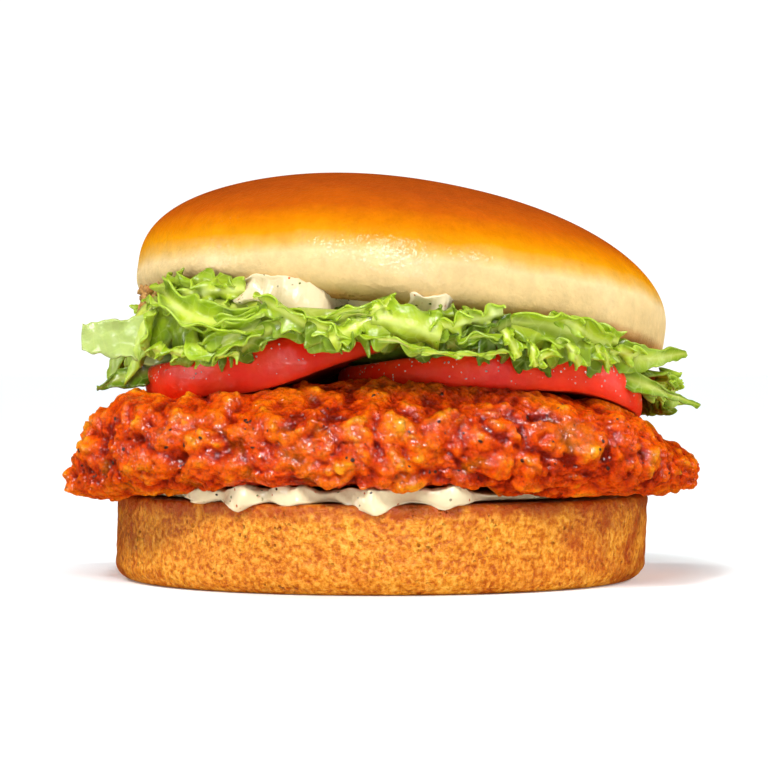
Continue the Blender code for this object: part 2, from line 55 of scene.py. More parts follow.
# Lower bun half
HEEL_RADIUS = 52.7 * MM
HEEL_HEIGHT = 17.0 * MM
HEEL_FOOT_ROUND = 3.7 * MM
HEEL_RIM_ROUND = 1.3 * MM
HEEL_CENTRE_X = -0.5 * MM

# Upper bun half
CROWN_RADIUS = 53.0 * MM
CROWN_WALL_HEIGHT = 8.0 * MM
CROWN_DOME_HEIGHT = 22.2 * MM
CROWN_DOME_POWER = 2.1
CROWN_WALL_DEPTH = 9.5 * MM
CROWN_WALL_POWER = 5.0
CROWN_CENTRE = Vector((2.4, 0.0, 48.0)) * MM
CROWN_TURN = (math.radians(-7.4), math.radians(8.0), 0.0)
CROWN_SLOPE_X = -0.14
CROWN_SLOPE_Y = -0.13
CROWN_HOLLOW = 6.4 * MM
CROWN_HOLLOW_RADIUS = 45.0 * MM

# Fillet
FILLET_HALF_LENGTH = 63.0 * MM
FILLET_HALF_DEPTH = 55.2 * MM
FILLET_OUTLINE_POWER = 2.5
# The height of its top in mm at places across the front
FILLET_TOPS = (
    (-63, 27.0), (-58, 34.0), (-54, 38.2), (-48, 38.2), (-42, 36.8), (-24, 37.0),
    (-12, 38.2), (30, 38.4), (42, 37.4), (50, 34.2), (55, 31.6), (62, 30.6),
)
FILLET_MAIN_TOP = 39.4 * MM
FILLET_LEFT_SAG = 3.4 * MM
FILLET_UNDERSIDE = 15.8 * MM
FILLET_FALL_TO_BACK = 0.045
FILLET_LUMPS = ((12 * MM, 2.7 * MM), (7 * MM, 1.7 * MM))
FILLET_OVERHANG = 15.4 * MM

# Tomato slices. The wedge is the share by which a slice is thicker at its right end, the belly says
# how deep its thicker middle hangs, where across and how wide, and the sag is its right end's
TOMATO_THICKNESS = 6.0 * MM
TOMATO_FULLNESS = 0.2 * MM
TOMATO_HALF = TOMATO_THICKNESS / 2 + TOMATO_FULLNESS
TOMATO_LEFT_RADIUS = 29.4 * MM
TOMATO_LEFT_CENTRE = Vector((-17.6, -12.0, 43.9)) * MM
TOMATO_LEFT_TURN = (math.radians(-2.5), math.radians(-11.5), 0.0)
TOMATO_LEFT_WEDGE = -0.14
TOMATO_LEFT_BELLY = (2.5 * MM, -0.2, 0.45)
TOMATO_RIGHT_RADIUS = 29.6 * MM
TOMATO_RIGHT_CENTRE = Vector((20.8, -13.6, 40.9)) * MM
TOMATO_RIGHT_TURN = (math.radians(-3.2), math.radians(-3.6), 0.0)
TOMATO_RIGHT_WEDGE = 0.18
TOMATO_RIGHT_BELLY = (1.4 * MM, 0.1, 0.5)
TOMATO_RIGHT_SAG = 7.6 * MM
TOMATO_LEFT = (
    TOMATO_LEFT_RADIUS,
    TOMATO_LEFT_CENTRE,
    TOMATO_LEFT_TURN,
    TOMATO_LEFT_WEDGE,
    TOMATO_LEFT_BELLY,
    0.0,
)
TOMATO_RIGHT = (
    TOMATO_RIGHT_RADIUS,
    TOMATO_RIGHT_CENTRE,
    TOMATO_RIGHT_TURN,
    TOMATO_RIGHT_WEDGE,
    TOMATO_RIGHT_BELLY,
    TOMATO_RIGHT_SAG,
)

# Sauce
SAUCE_THICKNESS = 1.7 * MM
LOWER_SAUCE_RADIUS = 49.0 * MM
UPPER_SAUCE_RADIUS = 40.0 * MM
# Lobes: the angle and the width in degrees, then how far out, up and down they reach in mm
LOWER_SAUCE_LOBES = (
    (-131, 5, 4.8, 1.0, 0.9),
    (-120, 5, 5.0, 1.3, 2.0),
    (-109, 6, 4.9, 1.5, 1.0),
    (-92, 7, 5.2, 1.7, 2.2),
    (-76, 6, 4.9, 1.4, 1.4),
)
UPPER_SAUCE_LOBES = (
    (-125, 9, 11.2, 0.3, 2.8),
    (-111, 12, 11.8, 1.5, 4.4),
    (-84, 12, 13.4, 1.3, 2.8),
    (-57, 6, 12.8, 0.6, 1.0),
    (-32, 6, 13.2, 0.6, 1.4),
)

# How fine the pieces are: segments round, or columns and rows
HEEL_SEGMENTS = 288
CROWN_SEGMENTS = 320
TOMATO_SEGMENTS = 240
SAUCE_SEGMENTS = 420
SALAD_BED_SEGMENTS = 160
FILLET_GRID = (620, 152)
FRONT_GRID = (84, 26)
SIDE_GRID = (70, 16)
BACK_GRID = (84, 24)
LOOSE_GRID = (60, 22)
RING_GRID = (56, 18)

# Small things: how many, their smallest and largest half width, their height for their width, how
# far for their width they are sunk in, and the seed that draws them
FLECKS = (260, (0.16 * MM, 0.5 * MM), 0.35, 0.1, 3)
CRUMBS = (90, (0.5 * MM, 1.2 * MM), 0.7, 0.35, 8)
LEFT_DROPS = (260, (0.10 * MM, 0.30 * MM), 0.6, 0.15, 5)
RIGHT_DROPS = (320, (0.10 * MM, 0.30 * MM), 0.6, 0.15, 6)
TORN_GRAIN_COUNT = 170
TORN_GRAIN_SEED = 12

# Studio: its brightness, the suns by name, direction, strength and softness in degrees, and the
# lamps by name, place and two sizes in metres, watts, colour, and whether only the gloss sees them
SKY_BAND = 1.1
SKY_DOME = 0.16
FLOOR_HALF_SIZE = 3.0
LAMP_AIM = (0.0, 0.0, 0.04)
SUNS = (
    ("sun_front", (-0.26, -0.58, 0.76), 1.55, 10),
    ("sun_left", (-0.62, 0.26, 0.62), 1.0, 12),
    ("sun_right", (0.74, 0.24, 0.55), 1.15, 12),
)
WHITE = (1.0, 1.0, 1.0)
LAMPS = (
    ("key_light", (-0.03, -0.56, 0.54), 0.26, 0.08, 2.6, (1.0, 0.98, 0.95), False),
    ("gloss_key", (-0.03, -0.68, 0.38), 0.26, 0.08, 5.2, WHITE, True),
    ("spark_left", (-0.34, -0.60, 0.42), 0.06, 0.06, 1.6, WHITE, True),
    ("spark_right", (0.40, -0.56, 0.44), 0.06, 0.06, 1.4, WHITE, True),
    ("gloss_low", (0.10, -0.80, 0.16), 0.10, 0.05, 0.8, WHITE, True),
    ("left_strip", (-0.46, -0.06, 0.10), 0.05, 0.20, 0.7, WHITE, True),
    ("right_strip", (0.42, 0.02, 0.16), 0.05, 0.30, 0.35, (1.0, 0.95, 0.92), False),
)
CAMERA_LENS = 164.06
CAMERA_DISTANCE = 0.700
CAMERA_HEIGHT = 0.050
CAMERA_AIM_HEIGHT = 0.0386

# Salad
LEAF_THICKNESS = 0.38 * MM
LEAF_NECK = 9.0 * MM
LEAF_ROOT_DROP = 2.2 * MM
SALAD_BED_RADIUS = 45.5 * MM
# How far in mm the front leaves' roots stand further in than their table says
FRONT_LEAF_SETBACK = 1.6
# From 0.99 on a leaf turns pale and streaky, and no loose leaf does
BRIGHTEST_LOOSE_TINT = 0.97
SALAD_SEED = 7


def mix(a, b, share):
    return a + (b - a) * share


def smooth_step(low, high, value):
    share = min(1.0, max(0.0, (value - low) / (high - low)))
    return share * share * (3.0 - 2.0 * share)


def wander(point, size, seed=0.0):
    """A smooth random height between about -1 and 1 that changes over the given size."""
    return noise.noise(point / size + Vector((seed * 7.31, seed * 3.17, seed)))


def lumpy(co, size, seed):
    """Rounded lumps with creases between them, from about -0.6 to 0.6."""
    return 0.62 - 1.15 * noise.voronoi(co / size + Vector((seed, seed, seed)))[0][0]


def along_table(table, value):
    """Reads a table of (place, height) pairs in mm at a place between them."""
    place = min(max(value / MM, table[0][0]), table[-1][0])
    for (x0, h0), (x1, h1) in zip(table, table[1:]):
        if place <= x1:
            return mix(h0, h1, (place - x0) / (x1 - x0)) * MM
    return table[-1][1] * MM


def bump_at(angle, centre, width):
    """One at the centre angle, in degrees, and fading out over the width."""
    away = (math.degrees(angle) - centre + 180) % 360 - 180
    return math.exp(-((away / width) ** 2))


def finish_piece(name, points, faces, values, material):
    """Makes the piece, with a number at each point for every name in values, and lets it ride."""
    mesh = bpy.data.meshes.new(name)
    mesh.from_pydata([tuple(p) for p in points], [], faces)
    mesh.polygons.foreach_set("use_smooth", [True] * len(mesh.polygons))
    for label, numbers in values.items():
        attribute = mesh.attributes.new(label, "FLOAT", "POINT")
        attribute.data.foreach_set("value", numbers)
    mesh.materials.append(material)
    mesh.update()
    obj = bpy.data.objects.new(name, mesh)
    bpy.context.scene.collection.objects.link(obj)
    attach(obj, "root")
    return obj


def turned_grid(profile, segments):
    """Points and faces of a profile that runs from the top of the axis to its foot, turned about Z."""
    points = [Vector((0.0, 0.0, profile[0][1]))]
    for radius, height in profile[1:-1]:
        for i in range(segments):
            angle = 2 * math.pi * i / segments
            points.append(Vector((radius * math.cos(angle), radius * math.sin(angle), height)))
    points.append(Vector((0.0, 0.0, profile[-1][1])))
    rings = len(profile) - 2
    faces = []
    for i in range(segments):
        j = (i + 1) % segments
        faces.append((0, 1 + i, 1 + j))
        for ring in range(rings - 1):
            upper, lower = 1 + ring * segments, 1 + (ring + 1) * segments
            faces.append((upper + i, lower + i, lower + j, upper + j))
        last = 1 + (rings - 1) * segments
        faces.append((last + j, last + i, len(points) - 1))
    return points, faces


def spaced(low, high, count):
    return [mix(low, high, i / (count - 1)) for i in range(count)]


def placed(point, centre, turn):
    """A point of a piece's own frame, turned and moved to its place on the burger."""
    return centre + (Euler(turn).to_matrix() @ point)


# Where the solids stand: their middle was moved onto the origin, so the lower bun's box says how far
heel_low, heel_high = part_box("bun_bottom")


def heel_point(co):
    """The heel's wall bulges and dents a little, and both flat faces stay flat."""
    share = math.hypot(co.x, co.y) / HEEL_RADIUS
    swell = 0.5 * MM * wander(co, 26 * MM, 1) * smooth_step(0.88, 1.0, share)
    lean = 0.5 * MM * co.x / HEEL_RADIUS * (co.z / HEEL_HEIGHT - 0.5)
    scale = 1.0 + (swell + lean) / HEEL_RADIUS
    return Vector((co.x * scale + HEEL_CENTRE_X, co.y * scale, co.z))


def heel_profile():
    profile = [(r * HEEL_RADIUS, HEEL_HEIGHT) for r in spaced(0.0, 0.94, 12)]
    for angle in spaced(90, 0, 8):
        a = math.radians(angle)
        radius = HEEL_RADIUS - HEEL_RIM_ROUND * (1 - math.cos(a))
        profile.append((radius, HEEL_HEIGHT - HEEL_RIM_ROUND * (1 - math.sin(a))))
    wall = spaced(HEEL_HEIGHT - HEEL_RIM_ROUND, HEEL_FOOT_ROUND, 22)
    profile += [(HEEL_RADIUS, height) for height in wall[1:-1]]
    for angle in spaced(0, -90, 12):
        a = math.radians(angle)
        radius = HEEL_RADIUS - HEEL_FOOT_ROUND * (1 - math.cos(a))
        profile.append((radius, HEEL_FOOT_ROUND * (1 + math.sin(a))))
    return profile + [(0.6 * HEEL_RADIUS, 0.0), (0.3 * HEEL_RADIUS, 0.0), (0.0, 0.0)]


raw_points, raw_faces = turned_grid(heel_profile(), HEEL_SEGMENTS)
heel_points = [heel_point(p) for p in raw_points]
SHIFT = Vector(
    (
        (heel_low[0] + heel_high[0] - min(p.x for p in heel_points) - max(p.x for p in heel_points)) / 2,
        (heel_low[1] + heel_high[1] - min(p.y for p in heel_points) - max(p.y for p in heel_points)) / 2,
        heel_low[2],
    )
)


# Shader helpers


def srgb(red, green, blue):
    """A colour given as it looks on a screen, 0 to 255, as the shader's own values."""
    return tuple(
        c / 12.92 if c <= 0.04045 else ((c + 0.055) / 1.055) ** 2.4
        for c in (red / 255, green / 255, blue / 255)
    ) + (1.0,)


class Shader:
    """A Principled material with short calls for the nodes that feed it. Ramps and blends take
    colours as they look on a screen, 0 to 255."""

    def __init__(self, name):
        self.material = bpy.data.materials.new(name)
        self.material.use_nodes = True
        self.tree = self.material.node_tree
        self.main = self.tree.nodes["Principled BSDF"]
        self.place = self.tree.nodes.new("ShaderNodeTexCoord").outputs["Object"]

    def set(self, **values):
        for name, value in values.items():
            self.main.inputs[name.replace("_", " ")].default_value = value

    def feed(self, name, socket):
        self.tree.links.new(socket, self.main.inputs[name])

    def link(self, source, target):
        """Feeds an input from a socket, or sets it to a plain value."""
        if isinstance(source, bpy.types.NodeSocket):
            self.tree.links.new(source, target)
        else:
            target.default_value = source

    def node(self, kind, **inputs):
        """A node of the given kind, with each input fed by a socket or set to a value."""
        made = self.tree.nodes.new("ShaderNode" + kind)
        for name, source in inputs.items():
            self.link(source, made.inputs[name])
        return made

    def noise(self, size, detail=4.0, rough=0.55, output="Fac"):
        """Noise whose main features are about the given size, in metres."""
        made = self.node("TexNoise", Scale=0.6 / size, Detail=detail, Roughness=rough, Vector=self.place)
        return made.outputs[output]

    def vector(self, operation, first, second):
        """Sums with vectors. The second value of SCALE is a plain number."""
        made = self.node("VectorMath")
        made.operation = operation
        self.link(first, made.inputs[0])
        self.link(second, made.inputs["Scale" if operation == "SCALE" else 1])
        return made.outputs["Vector"]

    def bent(self, size, amount):
        """The place on the object, pushed about unevenly, so that a pattern read there is uneven too."""
        push = self.vector("SUBTRACT", self.noise(size, 3.0, 0.6, "Color"), (0.5, 0.5, 0.5))
        return self.vector("ADD", self.place, self.vector("SCALE", push, amount))

    def cells(self, size, feature="F1", output="Distance", at=None):
        """Voronoi cells of about the given size, in metres."""
        made = self.node("TexVoronoi", Scale=1.0 / size, Vector=self.place if at is None else at)
        made.feature = feature
        return made.outputs[output]

    def value(self, label):
        """A number that the piece holds at each point."""
        made = self.node("Attribute")
        made.attribute_name = label
        return made.outputs["Fac"]

    def ramp(self, source, *stops, mode="LINEAR"):
        """Turns a number into a colour or another number by (place, result) stops."""
        made = self.node("ValToRGB", Fac=source)
        made.color_ramp.interpolation = mode
        elements = made.color_ramp.elements
        elements[0].position = stops[0][0]
        elements[1].position = stops[-1][0]
        for position, _ in stops[1:-1]:
            elements.new(position)
        for element, (_, colour) in zip(elements, stops):
            element.color = srgb(*colour) if isinstance(colour, tuple) else (colour, colour, colour, 1.0)
        return made.outputs["Color"]

    def mixed(self, share, first, second, mode="MIX"):
        """Blends two colours. The colour sockets of the node come after those for plain numbers."""
        made = self.node("Mix")
        made.data_type = "RGBA"
        made.blend_type = mode
        for socket, source in ((0, share), (6, first), (7, second)):
            self.link(srgb(*source) if isinstance(source, tuple) else source, made.inputs[socket])
        return made.outputs[2]

    def math(self, operation, first, second):
        made = self.node("Math")
        made.operation = operation
        self.link(first, made.inputs[0])
        self.link(second, made.inputs[1])
        return made.outputs[0]

    def varied(self, size, amount, detail=4.0):
        """Noise about zero, to add to another value."""
        return self.math("MULTIPLY", self.math("SUBTRACT", self.noise(size, detail), 0.5), amount)

    def bump(self, height, distance, strength=1.0, before=None):
        """Small relief of the given depth in metres, on top of the relief before it."""
        made = self.node("Bump", Distance=distance, Strength=strength, Height=height)
        if before is not None:
            self.link(before, made.inputs["Normal"])
        return made.outputs["Normal"]


def crown_material():
    """Cream bread side, a golden band and a glazed brown top, with a fine pimply skin."""
    s = Shader("glazed_crust")
    shifted = s.math("ADD", s.value("toast_and_shade"), s.varied(6 * MM, 0.10, 4.0))
    colour = s.ramp(
        shifted,
        (0.0, (190, 132, 70)),
        (0.06, (222, 188, 128)),
        (0.27, (231, 200, 143)),
        (0.34, (220, 168, 76)),
        (0.41, (220, 144, 4)),
        (0.49, (212, 120, 0)),
        (0.60, (190, 88, 9)),
        (0.76, (173, 75, 16)),
    )
    mottle = s.ramp(s.noise(2.2 * MM, 6.0, 0.66), (0.30, 0.84), (0.70, 1.06))
    s.feed("Base Color", s.mixed(1.0, colour, mottle, "MULTIPLY"))
    pimples = s.noise(0.7 * MM, 3.0, 0.6)
    fine = s.bump(pimples, 0.30 * MM, 1.0)
    soft = s.bump(s.noise(3.4 * MM, 3.0, 0.55), 0.5 * MM, 0.6, fine)
    s.feed("Normal", s.bump(s.cells(1.5 * MM), 0.9 * MM, s.value("crumb"), soft))
    s.feed("Coat Normal", s.bump(s.noise(0.6 * MM, 1.0), 0.13 * MM, 1.0))
    s.feed("Roughness", s.ramp(shifted, (0.3, 0.50), (0.6, 0.34), (1.0, 0.28)))
    s.set(Specular_IOR_Level=0.02, Subsurface_Weight=0.06, Subsurface_Scale=1.6 * MM)
    s.set(Coat_Weight=0.05, Coat_IOR=3.0, Coat_Roughness=0.21)
    s.set(Subsurface_Radius=(1.0, 0.55, 0.25))
    return s.material


def crumb_material():
    """Torn toasted bread."""
    s = Shader("toasted_crumb")
    s.feed("Base Color", s.ramp(s.noise(1.2 * MM, 5.0), (0.3, (150, 84, 26)), (0.7, (232, 186, 110))))
    s.feed("Normal", s.bump(s.noise(0.7 * MM, 5.0, 0.65), 0.4 * MM, 0.9))
    s.set(Roughness=0.6, Specular_IOR_Level=0.25)
    return s.material


def heel_material():
    """Baked golden side with a fine grain full of pores, browner at the upper edge and at both ends:
    toasting with painted shadow at the edge, painted shade at the ends, right half and pores.
    """
    s = Shader("baked_side")
    patchy = s.ramp(s.noise(5 * MM, 5.0), (0.32, 0.0), (0.62, 1.0))
    grain = s.noise(0.6 * MM, 3.0, 0.6)
    light = s.ramp(grain, (0.35, (200, 104, 10)), (0.50, (232, 152, 34)), (0.65, (250, 184, 74)))
    deep = s.ramp(grain, (0.35, (172, 74, 6)), (0.50, (212, 118, 20)), (0.65, (238, 156, 50)))
    base = s.mixed(patchy, light, deep)
    # The dark brown mixed in here follows toast_and_shade: toasting, and painted shadow and shade on the
    # heel.
    spread = s.math("ADD", s.value("toast_and_shade"), s.varied(3.2 * MM, 2.3, 6.0))
    edge = s.ramp(spread, (0.45, 0.0), (0.95, 1.0))
    colour = s.mixed(s.math("MULTIPLY", edge, 0.8), base, (168, 60, 10))
    # Painted shade in the pores: the holes that the bump dents are also coloured darker.
    pores = s.ramp(s.cells(1.5 * MM, at=s.bent(1.2 * MM, 1.6 * MM)), (0.10, 1.0), (0.27, 0.0))
    scattered = s.ramp(s.noise(4 * MM, 3.0), (0.48, 0.0), (0.60, 1.0))
    holes = s.math("MULTIPLY", pores, scattered)
    s.feed("Base Color", s.mixed(s.math("MULTIPLY", holes, 0.4), colour, (150, 70, 16)))
    fine = s.bump(grain, 0.6 * MM, 1.0)
    wavy = s.bump(s.noise(2.2 * MM, 4.0, 0.6), 0.9 * MM, 0.8, fine)
    s.feed("Normal", s.bump(s.math("SUBTRACT", 1.0, holes), 0.5 * MM, 1.0, wavy))
    s.set(Roughness=0.34, Specular_IOR_Level=0.16, Subsurface_Weight=0.05, Subsurface_Scale=1.2 * MM)
    s.set(Subsurface_Radius=(1.0, 0.5, 0.2))
    return s.material


def fillet_material():
    """Spiced breading, oily and glossy: the breading's red-orange, deep red in the pits as painted shade
    and bright orange on the crags as painted light.
    """
    s = Shader("spiced_crust")
    # The relief value paints shade into the pits and light onto the crags.
    level = s.math("ADD", s.value("relief"), s.varied(1.0 * MM, 0.6, 6.0))
    colour = s.ramp(
        level,
        (0.08, (142, 24, 0)),
        (0.22, (208, 54, 0)),
        (0.40, (238, 84, 2)),
        (0.58, (252, 114, 4)),
        (0.84, (255, 168, 26)),
    )
    patch = s.ramp(s.noise(7 * MM, 4.0), (0.56, 0.0), (0.68, 1.0))
    golden = s.mixed(s.math("MULTIPLY", patch, 0.4), colour, (255, 150, 8))
    dull = s.ramp(s.noise(11 * MM, 3.0), (0.56, 0.0), (0.68, 1.0))
    colour = s.mixed(s.math("MULTIPLY", dull, 0.22), golden, (186, 52, 6))
    speckle = s.ramp(s.noise(0.8 * MM, 4.0, 0.65), (0.36, 0.74), (0.64, 1.12))
    s.feed("Base Color", s.mixed(1.0, colour, speckle, "MULTIPLY"))
    grain = s.noise(0.7 * MM, 5.0, 0.68)
    rough = s.bump(grain, 0.8 * MM, 1.0)
    lumps = s.bump(s.cells(1.2 * MM, at=s.bent(1.0 * MM, 0.8 * MM)), 0.6 * MM, 0.8, rough)
    s.feed("Normal", s.bump(s.noise(2.0 * MM, 4.0, 0.6), 1.2 * MM, 0.9, lumps))
    s.feed("Coat Normal", s.bump(s.noise(0.42 * MM, 1.0), 0.30 * MM, 1.0))
    s.feed("Roughness", s.ramp(s.noise(1.4 * MM, 4.0), (0.35, 0.20), (0.7, 0.42)))
    s.set(Specular_IOR_Level=0.06, Coat_Weight=0.19, Coat_IOR=2.2, Coat_Roughness=0.06)
    return s.material


def tomato_material():
    """Wet red skin and flesh, with faint paler streaks."""
    s = Shader("wet_tomato")
    streak = s.ramp(s.noise(5 * MM, 5.0, 0.6), (0.35, 0.0), (0.72, 1.0))
    skin = s.mixed(streak, (246, 36, 6), (250, 68, 24))
    spread = s.ramp(s.noise(3 * MM, 5.0), (0.4, 0.0), (0.7, 1.0))
    flesh = s.mixed(spread, (230, 50, 18), (242, 94, 54))
    s.feed("Base Color", s.mixed(s.value("cut"), skin, flesh))
    fine = s.bump(s.noise(0.9 * MM, 4.0), 0.16 * MM, 0.9)
    s.feed("Normal", s.bump(s.noise(5 * MM, 3.0), 0.9 * MM, 0.5, fine))
    s.feed("Coat Normal", s.bump(s.noise(0.42 * MM, 1.0), 0.34 * MM, 1.0))
    s.set(Roughness=0.30, Specular_IOR_Level=0.18, Subsurface_Weight=0.2, Subsurface_Scale=2.0 * MM)
    s.set(Coat_Weight=0.18, Coat_IOR=2.2, Coat_Roughness=0.07)
    s.set(Subsurface_Radius=(1.0, 0.25, 0.12))
    return s.material


def leaf_material():
    """Crisp leaf: pale at the rib, fresh green on the blade, brighter at the margin, and dark inside the
    heap with painted shade.
    """
    s = Shader("crisp_leaf")
    across = s.math("ADD", s.value("across"), s.varied(3.2 * MM, 0.5))
    bright = s.ramp(
        across,
        (0.0, (208, 220, 104)),
        (0.30, (188, 204, 56)),
        (0.62, (162, 188, 30)),
        (0.86, (140, 170, 20)),
        (1.0, (170, 196, 50)),
    )
    # The dark ramp is the same leaf in painted shade.
    dark = s.ramp(across, (0.0, (130, 140, 50)), (0.5, (72, 104, 16)), (1.0, (50, 80, 8)))
    pale = s.ramp(across, (0.0, (226, 234, 168)), (0.7, (206, 222, 118)), (1.0, (172, 200, 66)))
    # Painted shade: a low tint_and_shade or painted_light_share picks the dark ramp.
    shade = s.math("MULTIPLY", s.value("tint_and_shade"), s.value("painted_light_share"))
    body = s.mixed(s.ramp(shade, (0.0, 1.0), (0.6, 0.0)), bright, dark)
    lighter = s.ramp(s.noise(6 * MM, 3.0), (0.50, 0.0), (0.62, 1.0))
    body = s.mixed(s.math("MULTIPLY", lighter, s.ramp(shade, (0.35, 0.0), (0.7, 0.7))), body, pale)
    veins = s.ramp(s.cells(3.0 * MM, "DISTANCE_TO_EDGE"), (0.0, 1.0), (0.07, 0.0))
    streaky = s.mixed(s.noise(2.4 * MM, 5.0), (192, 206, 130), (160, 184, 84))
    body = s.mixed(s.ramp(s.value("tint_and_shade"), (0.99, 0.0), (1.0, 1.0)), body, streaky)
    s.feed("Base Color", s.mixed(s.math("MULTIPLY", veins, 0.2), body, (208, 222, 124)))
    crinkle = s.bump(s.noise(2.4 * MM, 3.0), 0.7 * MM, 0.6)
    s.feed("Normal", s.bump(s.noise(0.9 * MM, 4.0), 0.14 * MM, 0.6, crinkle))
    s.feed("Coat Normal", s.bump(s.noise(1.2 * MM, 4.0), 0.25 * MM, 1.0))
    s.set(Roughness=0.34, Specular_IOR_Level=0.22, Subsurface_Weight=0.15, Subsurface_Scale=0.8 * MM)
    s.set(Coat_Weight=0.25, Coat_Roughness=0.16)
    s.set(Subsurface_Radius=(0.8, 1.0, 0.2))
    return s.material


def sauce_material():
    """Thick cream sauce with small orange, green and dark flecks."""
    s = Shader("cream_sauce")
    fleck = s.ramp(s.cells(1.5 * MM, at=s.bent(0.8 * MM, 0.5 * MM)), (0.15, 1.0), (0.22, 0.0))
    kind = s.cells(1.5 * MM, output="Color")
    orange, green, dark = (196, 88, 30), (96, 110, 40), (60, 44, 30)
    chosen = s.ramp(kind, (0.0, orange), (0.42, green), (0.58, dark), mode="CONSTANT")
    some = s.ramp(s.noise(3.0 * MM, 2.0), (0.44, 0.0), (0.52, 1.0))
    base = s.mixed(s.noise(6 * MM, 3.0), (232, 212, 168), (242, 226, 188))
    s.feed("Base Color", s.mixed(s.math("MULTIPLY", fleck, some), base, chosen))
    s.feed("Normal", s.bump(s.noise(2.4 * MM, 3.0), 0.8 * MM, 0.7))
    s.set(Roughness=0.24, Specular_IOR_Level=0.3, Subsurface_Weight=0.2, Subsurface_Scale=1.8 * MM)
    s.set(Subsurface_Radius=(1.0, 0.85, 0.6))
    return s.material


def fleck_material():
    s = Shader("pepper_fleck")
    s.feed("Base Color", s.ramp(s.noise(0.8 * MM, 3.0), (0.3, (26, 14, 10)), (0.7, (84, 34, 16))))
    s.feed("Normal", s.bump(s.noise(0.4 * MM, 3.0), 0.08 * MM, 0.6))
    s.set(Roughness=0.4, Specular_IOR_Level=0.2)
    return s.material


def water_painted_glint_material():
    s = Shader("water_drop_painted_glint")
    s.feed("Roughness", s.ramp(s.noise(1.0 * MM, 2.0), (0.3, 0.02), (0.8, 0.06)))
    # Painted highlight: the drops are mostly a pale pink diffuse colour, so each bead shows as a pale
    # glint on the tomato.
    s.set(Transmission_Weight=0.3, IOR=1.4)
    s.set(Base_Color=(1.0, 0.72, 0.62, 1.0))
    return s.material


# Bun


def make_heel():
    """The lower bun half in fine steps, with how dark its colour is at each point: toasted at the foot,
    toasted with painted shadow at the upper edge, and painted shade at the left end and from the middle
    out to the right end.
    """
    points, toast_and_shade = [], []
    for co, raw in zip(heel_points, raw_points):
        share = math.hypot(raw.x, raw.y) / HEEL_RADIUS
        # The upper edge is partly toasted and partly painted shadow under the sauce and the fillet.
        top_edge = smooth_step(HEEL_HEIGHT - 6.0 * MM, HEEL_HEIGHT - 0.4 * MM, raw.z)
        foot = 0.45 * smooth_step(3.0 * MM, 0.0, raw.z)
        # Painted shade: darker at the left end and from the middle out to the right end, where the
        # fillet's shadow falls and the light falls off at the sides.
        painted_shade = 0.6 * max(smooth_step(8 * MM, 50 * MM, raw.x), smooth_step(-34 * MM, -53 * MM, raw.x))
        rough = 0.28 * MM * wander(raw, 2.2 * MM, 12) * smooth_step(0.9, 1.0, share)
        outward = Vector((raw.x, raw.y, 0.0)).normalized() if share > 0.01 else Vector()
        flat_base = smooth_step(0.2 * MM, 2.0 * MM, raw.z)
        points.append(co + outward * rough * flat_base + SHIFT)
        toast_and_shade.append(max(top_edge, foot, painted_shade))
    return finish_piece("heel_bread", points, raw_faces, {"toast_and_shade": toast_and_shade}, heel_material())


def crown_wall(height):
    """The radius of the crown's wall at a height of its own, tucked in at the foot."""
    below = min(1.0, max(0.0, (CROWN_WALL_HEIGHT - height) / CROWN_WALL_DEPTH))
    return CROWN_RADIUS * (1.0 - below**CROWN_WALL_POWER) ** (1 / CROWN_WALL_POWER)


def crown_profile():
    profile = []
    for angle in spaced(0, 90, 56):
        radius = CROWN_RADIUS * math.sin(math.radians(angle))
        fall = max(0.0, 1.0 - (radius / CROWN_RADIUS) ** CROWN_DOME_POWER)
        profile.append((radius, CROWN_WALL_HEIGHT + CROWN_DOME_HEIGHT * fall ** (1 / CROWN_DOME_POWER)))
    for height in spaced(7.6, 0.0, 22):
        profile.append((crown_wall(height * MM), height * MM))
    edge = profile[-1][0]
    return profile + [(edge * share, 0.0) for share in spaced(0.985, 0.0, 22)]


def hollow_depth(radius):
    return CROWN_HOLLOW * max(0.0, 1.0 - (radius / CROWN_HOLLOW_RADIUS) ** 2)


def cut_face_height(x, y):
    """The height of the crown's cut face, left flat, over a point of the table."""
    return CROWN_CENTRE.z + CROWN_SLOPE_X * (x - CROWN_CENTRE.x) + CROWN_SLOPE_Y * y


def make_crown():
    raw, faces = turned_grid(crown_profile(), CROWN_SEGMENTS)
    points, toast_and_shade, crumb = [], [], []
    for co in raw:
        radius = co.xy.length
        rise = 0.3 * MM * wander(co, 30 * MM, 2) * smooth_step(4 * MM, 16 * MM, co.z)
        inside = 1.0 - smooth_step(0.0, 6 * MM, co.z)
        swell = 1.0 + 0.006 * wander(co, 32 * MM, 3)
        cut = 1.0 - smooth_step(0.0, 1.6 * MM, co.z)
        torn = 0.35 * MM * wander(co, 2.0 * MM, 6) * cut * smooth_step(0.7, 0.9, radius / CROWN_RADIUS)
        own = Vector((co.x * swell, co.y * swell, co.z + rise + inside * hollow_depth(radius) + torn))
        points.append(placed(own, CROWN_CENTRE, CROWN_TURN) + SHIFT)
        uneven = 1.3 * MM * wander(Vector((co.x, co.y, 0.0)), 22 * MM, 4)
        # On the crown this value is toasting only: browner higher up.
        toast_and_shade.append((co.z + uneven - 0.06 * co.x) / (30 * MM))
        crumb.append(cut)
    values = {"toast_and_shade": toast_and_shade, "crumb": crumb}
    return finish_piece("crown_bread", points, faces, values, crown_material())


# Fillet


def fillet_outline(angle):
    power = FILLET_OUTLINE_POWER
    across = abs(math.cos(angle)) ** power / FILLET_HALF_LENGTH**power
    deep = abs(math.sin(angle)) ** power / FILLET_HALF_DEPTH**power
    reach = (across + deep) ** (-1 / power)
    return reach * (1.0 + 0.014 * math.sin(3 * angle) + 0.010 * math.sin(7 * angle))


